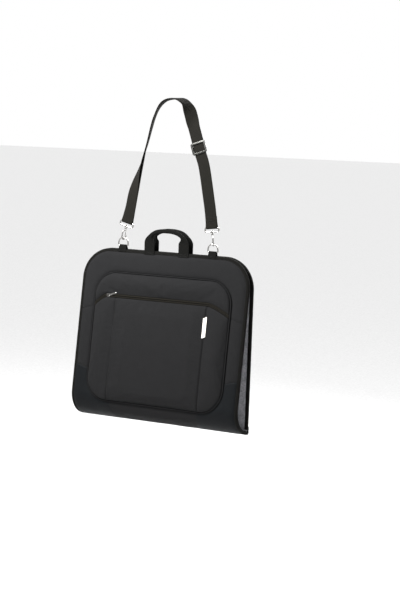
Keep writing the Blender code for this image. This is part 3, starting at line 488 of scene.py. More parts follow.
def settle(grid, held):
    """Lets a cloth grid swell and pucker under a light pressure, held at its pins."""
    rows, cols = len(grid), len(grid[0])
    rest = [p.copy() for row in grid for p in row]
    faces = [(i * cols + j, (i + 1) * cols + j, (i + 1) * cols + j + 1, i * cols + j + 1)
             for i in range(rows - 1) for j in range(cols - 1)]
    mesh = bpy.data.meshes.new("settle")
    mesh.from_pydata([tuple(p) for p in rest], [], faces)
    obj = bpy.data.objects.new("settle", mesh)
    bpy.context.scene.collection.objects.link(obj)
    group = obj.vertex_groups.new(name="pin")
    edge = [i in (0, rows - 1) or j in (0, cols - 1) for i in range(rows) for j in range(cols)]
    flat_held = [pin for row in held for pin in row]
    group.add([k for k in range(rows * cols) if edge[k] or flat_held[k]], 1.0, "REPLACE")
    modifier = obj.modifiers.new("cloth", "CLOTH")
    settings = modifier.settings
    settings.quality = 4
    settings.mass = 0.25
    settings.tension_stiffness = 12.0
    settings.compression_stiffness = 12.0
    settings.shear_stiffness = 4.0
    settings.bending_stiffness = CLOTH_BEND
    settings.vertex_group_mass = "pin"
    settings.shrink_min = -CLOTH_EASE
    settings.use_pressure = True
    settings.uniform_pressure_force = CLOTH_PRESSURE
    settings.effector_weights.gravity = 0.0
    scene = bpy.context.scene
    modifier.point_cache.frame_start = 1
    modifier.point_cache.frame_end = CLOTH_FRAMES
    for number in range(1, CLOTH_FRAMES + 1):
        scene.frame_set(number)
    evaluated = obj.evaluated_get(bpy.context.evaluated_depsgraph_get())
    moved = [v.co.copy() for v in evaluated.data.vertices]
    scene.frame_set(1)
    bpy.data.objects.remove(obj, do_unlink=True)
    for k, point in enumerate(moved):
        shift = point - rest[k]
        if shift.length > CLOTH_CAP:
            moved[k] = rest[k] + shift * (CLOTH_CAP / shift.length)
    return [moved[i * cols:(i + 1) * cols] for i in range(rows)]


def sweep(name, rings, along, closed=False):
    """A solid through rings of equal point counts; along are the rings' distances."""
    count = len(rings[0])
    verts = [point for ring in rings for point in ring]
    girth = [0.0]
    for a, b in zip(rings[0], rings[0][1:]):
        girth.append(girth[-1] + (b - a).length)
    marks = [(g, distance) for distance in along for g in girth]
    faces = []
    for i in range(len(rings) if closed else len(rings) - 1):
        after = (i + 1) % len(rings)
        for j in range(count):
            k = (j + 1) % count
            faces.append((i * count + j, i * count + k, after * count + k, after * count + j))
    if not closed:
        faces.append(tuple(range(count)))
        faces.append(tuple((len(rings) - 1) * count + j for j in reversed(range(count))))
    return mesh_piece(name, verts, faces, marks)


def distances(points):
    total = [0.0]
    for a, b in zip(points, points[1:]):
        total.append(total[-1] + (b - a).length)
    return total


def rounded(points, rounds=3, cyclic=False):
    """The points with their corners cut, for a smooth line through them."""
    points = [Vector(p) for p in points]
    for _ in range(rounds):
        pairs = list(zip(points, points[1:] + points[:1])) if cyclic else list(zip(points, points[1:]))
        cut = [] if cyclic else [points[0]]
        for a, b in pairs:
            cut += [a.lerp(b, 0.25), a.lerp(b, 0.75)]
        if not cyclic:
            cut.append(points[-1])
        points = cut
    return points


def tube(name, points, radius, cyclic=False, sides=14, turn=None):
    """Round wire along points; radius may be a function of the share of its length."""
    points = [Vector(p) for p in points]
    if turn is not None:
        points = [turn @ p for p in points]
    total = len(points)
    rings = []
    side = None
    for i, point in enumerate(points):
        before = points[i - 1] if i or cyclic else point
        after = points[(i + 1) % total] if i < total - 1 or cyclic else point
        along = (after - before).normalized()
        if side is None:
            side = along.orthogonal().normalized()
        side = (side - along * side.dot(along)).normalized()
        other = along.cross(side)
        r = radius(i / max(total - 1, 1)) if callable(radius) else radius
        rings.append([point + (side * math.cos(t) + other * math.sin(t)) * r
                      for t in (2 * math.pi * k / sides for k in range(sides))])
    return sweep(name, rings, distances(points), closed=cyclic)


def lathe(name, profile, sides=28, turn=None):
    """A turned solid about local Z: profile is (radius, z) from one end to the other."""
    rings = [[Vector((r * math.cos(t), r * math.sin(t), z))
              for t in (2 * math.pi * k / sides for k in range(sides))] for r, z in profile]
    if turn is not None:
        rings = [[turn @ p for p in ring] for ring in rings]
    return sweep(name, rings, [z for _, z in profile])


def bevel_round(radius, low, high, edge):
    """Profile of a cylinder with rounded rims."""
    corner = [(radius - edge + edge * math.sin(t), low + edge - edge * math.cos(t))
              for t in steps(0, math.pi / 2, 4)]
    return corner + [(r, high + low - z) for r, z in reversed(corner)]


def stitches(name, runs, body, lift=0.0001):
    """Rows of thread: each run is a line of (point, outward normal)."""
    length, half = STITCH
    verts, faces = [], []
    for run in runs:
        total = distances([p for p, _ in run])
        at = STITCH_PITCH / 2
        k = 0
        while at < total[-1] - STITCH_PITCH / 3:
            while total[k + 1] < at:
                k += 1
            (a, up), (b, _) = run[k], run[k + 1]
            along = (b - a).normalized()
            centre = a.lerp(b, (at - total[k]) / (total[k + 1] - total[k])) + up * lift
            side = along.cross(up).normalized() * half
            base = len(verts)
            verts.append(centre - along * length / 2)
            for share in (-0.3, 0.3):
                middle = centre + along * length * share
                verts += [middle + side, middle + up * half * 1.3, middle - side, middle - up * half]
            verts.append(centre + along * length / 2)
            for j in range(4):
                m = (j + 1) % 4
                faces.append((base, base + 1 + j, base + 1 + m))
                faces.append((base + 1 + j, base + 5 + j, base + 5 + m, base + 1 + m))
                faces.append((base + 9, base + 5 + m, base + 5 + j))
            at += STITCH_PITCH
    return dress(mesh_piece(name, verts, faces), THREAD, body)


def line_on(surface, points, height, count=40):
    """A run for stitches along (x, s) points on a half."""
    ends = [Vector((x, s)) for x, s in points]
    total = distances(ends)
    run = []
    for i in range(count + 1):
        at = total[-1] * i / count
        k = max(j for j in range(len(ends) - 1) if total[j] <= at + 1e-12)
        x, s = ends[k].lerp(ends[k + 1], (at - total[k]) / (total[k + 1] - total[k]))
        n = height(x, s) if callable(height) else height
        out = surface(x, s, n + 0.001) - surface(x, s, n)
        run.append((surface(x, s, n), out.normalized()))
    return run


def seam_runs(surface, low, high, height):
    """Runs for the stitches beside both long seams of a half."""
    return [line_on(surface, [(x, low), (x, high)], lambda a, s: height(a, s) + STITCH_LIFT, 120)
            for x in (STITCH_IN - SEAM_X, SEAM_X - STITCH_IN)]


def ribbon(name, rows, width, thickness, start=0.0, count=20, thin=0.30, soft=0.0016):
    """Webbing with thin, rounded selvedges along rows of (point, across)."""
    columns = steps(-width / 2, width / 2, count)
    points = [p for p, _ in rows]
    along = distances(points)
    depths = [thickness / 2 * (thin + (1 - thin) * bulge((width / 2 - abs(c)) / soft)) for c in columns]
    top, bottom, marks = [], [], []
    for k, (point, across) in enumerate(rows):
        run = (points[min(k + 1, len(rows) - 1)] - points[max(k - 1, 0)]).normalized()
        out = run.cross(across).normalized()
        top.append([point + across * c + out * t for c, t in zip(columns, depths)])
        bottom.append([point + across * c - out * t for c, t in zip(columns, depths)])
        marks += [(c, start + along[k]) for c in columns]
    return closed_grid(name, top, bottom, marks)


# ---- the front half's band and corners --------------------------------------
BINDING_IN = HALF_W - BINDING_LEG       # inner edge of the binding's leg
PIPING_OUT = 2 * PIPING_R + 2 * GAP     # outer edge of the piping beyond the pocket
SEAM_DEPTH = 0.0020
SEAM_WIDTH = 0.0017
WELT_IN = 0.0002            # welt over the pocket's edge
WELT_N = 0.0030
WELT_T = 0.0019
TOOTH = (0.0021, 0.0013, 0.0027)    # pitch, width and length of the zip's teeth
TOOTH_END = 0.006
SEAM_SHADOW_R = 0.0008             # painted shadow: black lines beside the welt and the zip, for the shade in their seams
WELT_GROOVE = 0.0018
WELT_DEPTH = 0.0026
PANEL_SLANT = 0.012         # rise of the corner skins' top seam towards the edge


def band_seams():
    """Slanted seams across the band: (inner, outer) ends on the right side."""
    inner = POCKET_HALF_W + PIPING_OUT
    return (((inner, 0.175), (BINDING_IN + 0.003, 0.189)),
            ((inner, PANEL_TOP), (BINDING_IN + 0.003, PANEL_TOP - PANEL_SLANT)))


def distance_to_line(point, start, end):
    a, b, p = Vector(start), Vector(end), Vector(point)
    share = min(max((p - a).dot(b - a) / (b - a).length_squared, 0.0), 1.0)
    return (p - a.lerp(b, share)).length


def band_height(x, s):
    """Outer face of the padded band round the pocket."""
    edge = -box_distance(x, s, BINDING_IN, BINDING_LEG, 2 * FRONT_END, CORNER_RADIUS - BINDING_LEG)
    pocket = box_distance(x, s, POCKET_HALF_W + PIPING_OUT, POCKET_TOP - PIPING_OUT,
                          POCKET_BOTTOM + PIPING_OUT, POCKET_RADIUS + PIPING_OUT)
    near = min(edge, pocket)
    if near <= 0.0:
        return GAP
    height = GAP + BAND_PUFF * bulge(near / 0.020)
    height += 0.0005 * wander(x, s, 14.0, 1.5) * smooth(near / 0.02)
    if s < PANEL_TOP + 0.02:
        for start, end in band_seams():
            height -= groove(distance_to_line((abs(x), s), start, end), SEAM_WIDTH, SEAM_DEPTH)
    if s > FRONT_FLAT:
        height *= 1.0 - 0.6 * smooth((s - FRONT_FLAT) / (FRONT_END - FRONT_FLAT))
    return max(height, GAP)


def front_cloth():
    """Shell, foam and board of the front half as one padded body."""
    obj = panel("front_padding", front, half_chart(FRONT_END, HALF_W), band_height,
                -(STACK_T - LINING_T - GAP), 150, 150)
    dress(obj, SHELL, "front_half", ("front_shell", "front_foam", "front_board"))
    runs = []
    for side in (-1, 1):
        for start, end in band_seams():
            points = [(side * start[0], start[1] - 0.0022), (side * end[0], end[1] - 0.0022)]
            runs.append(line_on(front, points, band_height))
    stitches("band_stitches", runs, "front_half")


def corner_skin(name, side):
    """The smooth skin of a lower corner, from its slanted seam to the fold."""
    clear = PIPING_OUT + GAP
    radius = POCKET_RADIUS + clear
    middle_x, middle_s = POCKET_HALF_W - POCKET_RADIUS, POCKET_BOTTOM - POCKET_RADIUS
    last = FRONT_END - 0.001

    def inner(s):
        if s <= middle_s:
            return middle_x + radius
        if s < middle_s + radius * 0.998:
            return middle_x + math.sqrt(radius ** 2 - (s - middle_s) ** 2)
        share = (s - middle_s - radius) / (last - middle_s - radius)
        return SEAM_X - 0.004 - 0.022 * share

    def chart(u, v):
        start = PANEL_TOP - PANEL_SLANT * u
        s = start + (last - start) * v
        low = inner(s)
        return side * (low + (HALF_W - 0.001 - low) * u), s

    def height(x, s):
        away = min(abs(abs(x) - inner(s)), s - PANEL_TOP + PANEL_SLANT)
        return band_height(x, s) + SKIN * bulge(max(away, 0.0) / 0.002 + 0.15)

    obj = panel(f"corner_skin_{name}", front, chart, height, GAP / 3, 90, 40)
    return dress(obj, SMOOTH, "front_half", (f"corner_panel_{name}",))


# ---- the pocket -----------------------------------------------------------
def zip_line(x):
    """The zip's s at x: straight, then falling away to the pocket's sides."""
    straight = ZIP_STRAIGHT[x > 0]
    past = max(abs(x) - straight, 0.0) / (POCKET_HALF_W - straight)
    return ZIP_S + ZIP_SIDE_DROP * past ** 1.4


def pocket_edge(x, s):
    """How far inside the pocket's outline a point is."""
    return -box_distance(x, s, POCKET_HALF_W, POCKET_TOP, POCKET_BOTTOM, POCKET_RADIUS)


def upper_height(x, s):
    to_zip = zip_line(x) - ZIP_GAP_HALF - s
    height = GAP + POCKET_T * 0.9 + UPPER_PUFF * bulge(pocket_edge(x, s) / 0.020) * bulge(
        (to_zip + 0.001) / 0.030)
    height -= groove(pocket_edge(x, s), WELT_GROOVE, WELT_DEPTH)
    return height + 0.0006 * wander(x, s, 16.0, 4.2)


def lower_height(x, s):
    to_zip = s - zip_line(x) - ZIP_GAP_HALF
    rise = bulge(pocket_edge(x, s) / 0.034) * bulge((to_zip + 0.001) / 0.013)
    sag = 0.62 + 0.38 * smooth((s - ZIP_S) / 0.17)
    height = GAP + POCKET_T * 0.9 + LOWER_PUFF * rise * sag
    height -= groove(abs(x) - SEAM_X, SEAM_WIDTH, 1.5 * SEAM_DEPTH)
    height -= groove(pocket_edge(x, s), WELT_GROOVE, WELT_DEPTH)
    return height + 0.0007 * wander(x, s, 11.0, 7.7) * rise


def pocket_corner(x):
    past = max(abs(x) - POCKET_HALF_W + POCKET_RADIUS, 0.0)
    return POCKET_RADIUS - math.sqrt(max(POCKET_RADIUS ** 2 - past ** 2, 0.0))


def spread_columns(u):
    """Stations across the pocket, closer together where its corners turn."""
    return math.sin((u - 0.5) * math.pi * 0.86) / math.sin(0.43 * math.pi) * (POCKET_HALF_W - 0.0002)


def pocket_panels():
    def upper_chart(u, v):
        x = spread_columns(u)
        bottom = zip_line(x) - ZIP_GAP_HALF
        top = min(POCKET_TOP + pocket_corner(x), bottom - 0.004)
        return x, top + (bottom - top) * v

    def lower_chart(u, v):
        x = spread_columns(u)
        top = zip_line(x) + ZIP_GAP_HALF
        return x, top + (POCKET_BOTTOM - pocket_corner(x) - top) * v

    def seam_pins(x, s):
        return abs(abs(x) - SEAM_X) < 0.0035

    upper = panel("pocket_upper", front, upper_chart, upper_height, GAP, 26, 110,
                  pins=lambda x, s: False)
    dress(upper, SHELL, "front_half", ("pocket_upper_panel",))
    lower = panel("pocket_lower", front, lower_chart, lower_height, GAP, 90, 130, pins=seam_pins)
    dress(lower, SHELL, "front_half", ("pocket_lower_panel",))
    stitches("pocket_stitches", seam_runs(front, ZIP_S + 0.012, POCKET_BOTTOM - 0.004, lower_height),
             "front_half")


OUTLINE_RUN = 40            # stations along each straight side


def pocket_outline(out, corner_count=14):
    """Points (x, s) round the pocket, this far outside its panels."""
    half_w, radius = POCKET_HALF_W + out, POCKET_RADIUS + out
    top, bottom = POCKET_TOP - out, POCKET_BOTTOM + out
    points = []
    for across, down, first in ((1, -1, 0.0), (-1, -1, 0.5), (-1, 1, 1.0), (1, 1, 1.5)):
        centre = (across * (half_w - radius), top + radius if down < 0 else bottom - radius)
        for t in steps(first * math.pi, (first + 0.5) * math.pi, corner_count):
            points.append((centre[0] + radius * math.cos(t), centre[1] - radius * math.sin(t)))
    dense = []
    for (x0, s0), (x1, s1) in zip(points, points[1:] + points[:1]):
        count = OUTLINE_RUN if math.hypot(x1 - x0, s1 - s0) > 0.1 else 1
        dense += [(x0 + (x1 - x0) * k / count, s0 + (s1 - s0) * k / count) for k in range(count)]
    return dense


def pocket_trim():
    """The flat welt round the pocket, between its two seams."""
    inner, outer = pocket_outline(-WELT_IN), pocket_outline(PIPING_OUT - GAP)
    rings = []
    for (x0, s0), (x1, s1) in zip(inner, outer):
        ring = []
        for t in steps(0, 2 * math.pi, 14)[:-1]:
            share = 0.5 - 0.5 * math.cos(t)
            n = WELT_N + WELT_T * (math.sin(t) if t < math.pi else 0.6 * math.sin(t))
            ring.append(front(x0 + (x1 - x0) * share, s0 + (s1 - s0) * share, n))
        rings.append(ring)
    welt = sweep("pocket_welt", rings, distances([ring[0] for ring in rings]), closed=True)
    dress(welt, SHELL, "front_half", ("pocket_piping",))
    # Black lines along both edges of the welt: painted shadow for the shade in its seams.
    for name, out in (("inner", -WELT_IN), ("outer", PIPING_OUT - GAP)):
        line = [front(x, s, WELT_N + 0.0008) for x, s in pocket_outline(out)]
        seam = tube(f"welt_seam_shadow_{name}", line, SEAM_SHADOW_R, cyclic=True, sides=8)
        dress(seam, SEAM_SHADOW, "front_half")


def zip_strip(name, low, high, height, depth, mat, replaced, rows=10):
    """A strip along the zip line, between two offsets from it."""
    def chart(u, v):
        x = (2 * u - 1) * (POCKET_HALF_W - 0.001)
        return x, zip_line(x) + low + (high - low) * v

    obj = panel(name, front, chart, height, depth, rows, 200)
    return dress(obj, mat, "front_half", replaced)


def zip_parts():
    """Tape, teeth and the two lips that nearly close over them."""
    half = ZIP_GAP_HALF - GAP
    zip_strip("zip_tape", -half, half, lambda x, s: GAP + 0.0009, GAP / 2, ZIP_CLOTH,
              ("pocket_zip_tape",))
    teeth = []
    faces = []
    pitch, tooth_w, tooth_l = TOOTH
    total = int(2 * (POCKET_HALF_W - TOOTH_END) / pitch)
    for k in range(total):
        x = -POCKET_HALF_W + TOOTH_END + k * pitch
        side = 1 if k % 2 else -1
        middle = zip_line(x) + side * tooth_l * 0.42
        base = len(teeth)
        low, high = GAP + 0.0011, GAP + 0.0025
        for share, n in ((1.0, low), (0.62, high)):
            for a, b in ((-1, -1), (1, -1), (1, 1), (-1, 1)):
                teeth.append(front(x + a * tooth_w / 2 * share, middle + b * tooth_l / 2 * share, n))
        faces.append((base + 3, base + 2, base + 1, base))
        faces.append((base + 4, base + 5, base + 6, base + 7))
        for j in range(4):
            m = (j + 1) % 4
            faces.append((base + j, base + m, base + 4 + m, base + 4 + j))
    coil = mesh_piece("zip_coil", teeth, faces)
    dress(coil, COIL, "front_half", ("pocket_zip_coil",))
    def flap(x, s):
        return GAP + 0.0024 + 0.0028 * bulge(2.0 - 2.0 * abs(s - zip_line(x)) / half)

    for name, low, high in (("zip_lip_upper", -half, -0.0010), ("zip_lip_lower", 0.0010, half)):
        zip_strip(name, low, high, flap, GAP + 0.0009, ZIP_CLOTH, ())


def zip_seams():
    """Painted shadow: black lines where the zip's lips meet the pocket, standing in for the shade in those
    seams.
    """
    for name, side in (("upper", -1), ("lower", 1)):
        stations = steps(-POCKET_HALF_W + 0.002, POCKET_HALF_W - 0.002, 120)
        line = [front(x, zip_line(x) + side * (ZIP_GAP_HALF - 0.0002), 0.0046) for x in stations]
        seam = tube(f"zip_seam_shadow_{name}", line, SEAM_SHADOW_R, sides=8)
        dress(seam, SEAM_SHADOW, "front_half")


def front_frame(x, s, n):
    """Local X right, Y up the front and Z out of it, at a point on the front."""
    down = (front(0, s + 0.001, 0) - front(0, s, 0)).normalized()
    out = (front(0, s, 0.001) - front(0, s, 0)).normalized()
    turn = Matrix((Vector((1, 0, 0)), -down, out)).transposed().to_4x4()
    return Matrix.Translation(front(x, s, n)) @ turn


def plate(name, outline, holes, thickness, edge, turn):
    """A flat plate with rounded edges from an outline and holes, about local Z."""
    curve = bpy.data.curves.new(name, "CURVE")
    curve.dimensions = "2D"
    curve.fill_mode = "BOTH"
    curve.extrude = thickness / 2 - edge
    curve.bevel_depth = edge
    curve.bevel_resolution = 2
    for points in (outline, *holes):
        spline = curve.splines.new("POLY")
        spline.points.add(len(points) - 1)
        for slot, (a, b) in zip(spline.points, points):
            slot.co = (a, b, 0, 1)
        spline.use_cyclic_u = True
    guide = bpy.data.objects.new(name + "_line", curve)
    bpy.context.scene.collection.objects.link(guide)
    bpy.context.view_layer.update()
    mesh = bpy.data.meshes.new_from_object(
        guide.evaluated_get(bpy.context.evaluated_depsgraph_get()))
    bpy.data.objects.remove(guide, do_unlink=True)
    verts = [turn @ v.co for v in mesh.vertices]
    faces = [tuple(p.vertices) for p in mesh.polygons]
    obj = mesh_piece(name, verts, faces)
    work = bmesh.new()
    work.from_mesh(obj.data)
    bmesh.ops.remove_doubles(work, verts=work.verts, dist=1e-6)
    bmesh.ops.recalc_face_normals(work, faces=work.faces)
    work.to_mesh(obj.data)
    work.free()
    return obj


def mirrored(side, rounds):
    """A closed outline with cut corners, from one side of it."""
    line = side + [(a, -b) for a, b in reversed(side)]
    return [(p.x, p.y) for p in rounded([(a, b, 0) for a, b in line], rounds, cyclic=True)]


def circle(centre_a, centre_b, radius, count=20):
    return [(centre_a + radius * math.cos(t), centre_b + radius * math.sin(t))
            for t in (2 * math.pi * k / count for k in range(count))]


def zip_runner():
    """Slider with its nose, bridge and tapered pull."""
    place = front_frame(ZIP_SLIDER_X, ZIP_S, ZIP_SLIDER_LOW)
    length, width, height = ZIP_SLIDER
    outline = [(length / 2, width * 0.34), (length * 0.30, width * 0.50), (-length * 0.10, width * 0.47),
               (-length * 0.42, width * 0.36), (-length * 0.50, width * 0.16)]
    body = plate("slider_plate", mirrored(outline, 2), (), height, 0.0006,
                 place @ Matrix.Translation((0, 0, height / 2)))
    dress(body, NICKEL, "zip_runner", ("zip_slider",))
    arch = [(length * 0.02 + 0.0042 * math.cos(t), 0, height + 0.0008 * math.sin(t))
            for t in steps(0, math.pi, 12)]
    bridge = tube("slider_bridge", arch, 0.0005, sides=10, turn=place)
    dress(bridge, NICKEL, "zip_runner")
    spin = place @ Matrix.Translation((length / 4, 0, height + PULL_LIFT))
    spin = spin @ Matrix.Rotation(PULL_RISE, 4, "Z")
    reach, wide = PULL
    side = [(-0.0006, wide * 0.42), (0.004, wide * 0.50), (reach * 0.55, wide * 0.30),
            (reach * 0.80, wide * 0.46), (reach * 0.97, wide * 0.44)]
    holes = (circle(0.0023, 0, 0.0010), circle(reach * 0.86, 0, 0.0011))
    pull = plate("pull_tab", mirrored(side, 3), holes, 0.0013, 0.0004, spin)
    dress(pull, NICKEL, "zip_puller", ("zip_pull",))


def badge():
    """A blank satin plate with slanted ends on the right seam."""
    width, length, height = BADGE
    w, h = width / 2, length / 2
    corners = []
    raw = [Vector((-w, -h)), Vector((w, BADGE_SLANT - h)), Vector((w, h)), Vector((-w, h - BADGE_SLANT))]
    for k, corner in enumerate(raw):
        before, after = raw[k - 1], raw[(k + 1) % 4]
        a = corner + (before - corner).normalized() * BADGE_CORNER
        b = corner + (after - corner).normalized() * BADGE_CORNER
        for t in steps(0, 1, 4):
            p = a * (1 - t) ** 2 + corner * 2 * t * (1 - t) + b * t ** 2
            corners.append((p.x, p.y))
    n = max(lower_height(SEAM_X + d, BADGE_S) for d in (-0.005, 0.005)) + 0.0003
    place = front_frame(SEAM_X, BADGE_S, n)
    obj = plate("badge_face", corners, (), height, 0.0004, place @ Matrix.Translation((0, 0, height / 2)))
    dress(obj, SATIN, "front_half", ("badge_plate",))


# ---- bindings, fold and the back half ---------------------------------------
def edge_path(end, corner_count=26, side_count=60):
    """Stations (x, s, out_x, out_s) round a half's edge, left to right."""
    right = [(HALF_W, s, 1.0, 0.0) for s in steps(end, CORNER_RADIUS, side_count)]
    for t in steps(0.0, math.pi / 2, corner_count)[1:]:
        out_x, out_s = math.cos(t), -math.sin(t)
        right.append((HALF_W - CORNER_RADIUS + CORNER_RADIUS * out_x,
                      CORNER_RADIUS + CORNER_RADIUS * out_s, out_x, out_s))
    left = [(-x, s, -out_x, out_s) for x, s, out_x, out_s in right]
    across = [(x, 0.0, 0.0, -1.0) for x in steps(CORNER_RADIUS - HALF_W, HALF_W - CORNER_RADIUS, 50)]
    return left + across[1:-1] + right[::-1]


def binding(prefix, surface, end, body):
    """Rounded edge tape round a half, with a row of stitches on each leg."""
    outer = GAP + BINDING_T
    mid = -STACK_T / 2
    half = STACK_T / 2 + outer
    inner = STACK_T / 2 + GAP
    section = [(-BINDING_LEG, mid + half - 0.0006), (-BINDING_LEG + 0.0012, mid + half)]
    section += [(outer - half * 0.45 + half * 0.45 * math.sin(t), mid + half * math.cos(t))
                for t in steps(0, math.pi, 12)]
    section += [(-BINDING_LEG + 0.0012, mid - half), (-BINDING_LEG, mid - half + 0.0006),
                (-BINDING_LEG, mid - inner), (GAP, mid - inner), (GAP, mid + inner),
                (-BINDING_LEG, mid + inner)]
    rings, middle = [], []
    for x, s, out_x, out_s in edge_path(end):
        sway = 0.0003 * wander(x, s, 45.0, 3.1)
        rings.append([surface(x + (e + sway) * out_x, s + (e + sway) * out_s, n) for e, n in section])
        middle.append(surface(x, s, mid))
    obj = sweep(f"{prefix}_edge_tape", rings, distances(middle))
    dress(obj, TRIM, body, (f"{prefix}_binding",), sharp=55.0)
    inset = BINDING_LEG - 0.0020
    for face, n in (("outer", mid + half), ("inner", mid - half)):
        run = []
        for x, s, out_x, out_s in edge_path(end):
            a, b = x - inset * out_x, s - inset * out_s
            up = surface(a, b, n + (0.001 if face == "outer" else -0.001)) - surface(a, b, n)
            run.append((surface(a, b, n), up.normalized()))
        stitches(f"{prefix}_tape_stitches_{face}", [run], body)


def fold_cover():
    """The cloth over the fold's cord, from the front half round to the back half."""
    reach, lift = 0.012, 0.0022
    radius = STACK_T / 2 + lift
    front_out = (front(0, FRONT_END, 0.001) - front(0, FRONT_END, 0)).normalized()
    start = math.atan2(front_out.z, front_out.y)
    last = math.atan2(BACK_NORMAL.z, BACK_NORMAL.y)
    profile = [(front(0, FRONT_END - reach * (1 - t), lift), front_out) for t in steps(0, 1, 5)]
    profile += [(None, Vector((0, math.cos(t), math.sin(t)))) for t in steps(start, last, 16)]
    profile += [(back(0, BACK_END - reach * t, lift), BACK_NORMAL) for t in steps(0, 1, 5)]
    top, bottom, marks = [], [], []
    columns = steps(-BAG_WIDTH / 2, BAG_WIDTH / 2, 90)
    for k, (point, out) in enumerate(profile):
        rows = ([], [])
        for x in columns:
            base = Vector(FOLD_CENTRE) + out * radius if point is None else point.copy()
            base.x = x + BAG_X
            base += out * 0.0004 * wander(x, k * 0.002, 18.0, 9.0)
            rows[0].append(base)
            rows[1].append(base - out * 0.0009)
            marks.append((x, k * 0.002))
        top.append(rows[0])
        bottom.append(rows[1])
    obj = closed_grid("fold_sleeve", top, bottom, marks)
    dress(obj, SMOOTH, None)
    front(0, FRONT_END, 0)
    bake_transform(obj)
    cord = tube("fold_cord", [Vector((x + BAG_X, FOLD_CENTRE.y, FOLD_CENTRE.z))
                              for x in steps(-BAG_WIDTH / 2, BAG_WIDTH / 2, 40)], 0.0042, sides=20)
    dress(cord, TRIM, "front_half", ("fold_piping",))


def back_height(x, s):
    edge = -box_distance(x, s, BINDING_IN, BINDING_LEG, 2 * BACK_END, CORNER_RADIUS - BINDING_LEG)
    near = min(edge, BACK_END - s + 0.004)
    if near <= 0.0:
        return GAP
    height = GAP + 0.0045 * bulge(near / 0.035) + 0.0009 * wander(x, s, 9.0, 12.0) * smooth(near / 0.05)
    height -= groove(abs(x) - SEAM_X, SEAM_WIDTH, SEAM_DEPTH * 0.8) * smooth(near / 0.01)
    return max(height, GAP)


def back_cloth():
    obj = panel("back_padding", back, half_chart(BACK_END, HALF_W), back_height,
                -(STACK_T - LINING_T - GAP), 110, 130)
    dress(obj, SHELL, "back_half", ("back_shell", "back_foam", "back_board"))
    stitches("back_stitches", seam_runs(back, 0.012, BACK_END - 0.012, back_height),
             "back_half")


def lining(prefix, surface, end, body):
    """Loose lining cloth on a half's inner face, gently rumpled."""
    chart = half_chart(end, HALF_W - 0.0005)

    def depth_at(x, s):
        edge = -box_distance(x, s, BINDING_IN, BINDING_LEG, 2 * end, CORNER_RADIUS - BINDING_LEG)
        ease = smooth(min(edge, end - s) / 0.03)
        ripple = wander(x, s, 13.0, 20.0) + 0.5 * wander(x, s, 34.0, 31.0)
        return -STACK_T - 0.0007 * (1.0 + ripple) * ease

    obj = panel(f"{prefix}_lining_cloth", surface, chart, lambda x, s: -(STACK_T - LINING_T),
                0.0, LINING_CELLS, LINING_CELLS)
    mesh = obj.data
    spots = [chart(j / LINING_CELLS, i / LINING_CELLS)
             for i in range(LINING_CELLS + 1) for j in range(LINING_CELLS + 1)]
    for k, (x, s) in enumerate(spots):
        mesh.vertices[len(spots) + k].co = surface(x, s, depth_at(x, s))
    return dress(obj, LINING, body, (f"{prefix}_lining",))


def inside():
    """Hanger bracket and elastic garment straps on the back half's lining."""
    depth = -STACK_T - GAP
    turn = Matrix((Vector((1, 0, 0)), BACK_NORMAL, -BACK_DOWN)).transposed().to_4x4()
    lay = turn @ Matrix.Rotation(math.pi / 2, 4, "X")
    place = Matrix.Translation(back(0, BRACKET_S, depth - 0.002)) @ lay
    frame_line = rounded_box_outline(0.030, 0.015, 0.005)
    slot_line = rounded_box_outline(0.015, 0.005, 0.003)
    rivets = [circle(side * 0.0225, 0, 0.0022) for side in (-1, 1)]
    plate_obj = plate("bracket_plate", frame_line, (slot_line, *rivets), 0.004, 0.0008, place)
    dress(plate_obj, BOARD, "back_half", ("hanger_bracket",))
    for k, rivet in enumerate(rivets):
        centre = place @ Matrix.Translation((rivet[0][0] - 0.0022, 0, 0))
        head = lathe(f"bracket_rivet_{k}", bevel_round(0.0021, -0.0021, 0.0023, 0.0006), turn=centre)
        dress(head, NICKEL, "back_half")
    for name, s in zip(("upper", "lower"), GARMENT_STRAP_S):
        def chart(u, v, middle=s):
            return (2 * u - 1) * GARMENT_STRAP_HALF, middle + (v - 0.5) * GARMENT_STRAP_W

        strap = panel(f"elastic_{name}", back, chart, lambda x, at: depth - 0.0003,
                      depth - GARMENT_STRAP_T - 0.0004, 8, 120)
        dress(strap, WEBBING, "back_half", (f"garment_strap_{name}",))
        runs = []
        for side in (-1, 1):
            x = side * (GARMENT_STRAP_HALF - 0.006)
            run = line_on(back, [(x, s - 0.010), (x, s + 0.010)], depth - GARMENT_STRAP_T - 0.0004)
            runs.append([(p, -up) for p, up in run])
        stitches(f"elastic_stitches_{name}", runs, "back_half")


def rounded_box_outline(half_a, half_b, radius, count=6):
    points = []
    for across, up, first in ((1, 1, 0.0), (-1, 1, 0.5), (-1, -1, 1.0), (1, -1, 1.5)):
        for t in steps(first * math.pi, (first + 0.5) * math.pi, count):
            points.append((across * (half_a - radius) + radius * math.cos(t),
                           up * (half_b - radius) + radius * math.sin(t)))
    return points


# ---- handles ----------------------------------------------------------------
PATCH_N = 2 * GAP + BINDING_T + LEG_T / 2 + GAP
LEG_TOP = 0.028             # where the legs start to gather into the grip
GATHER = 0.024


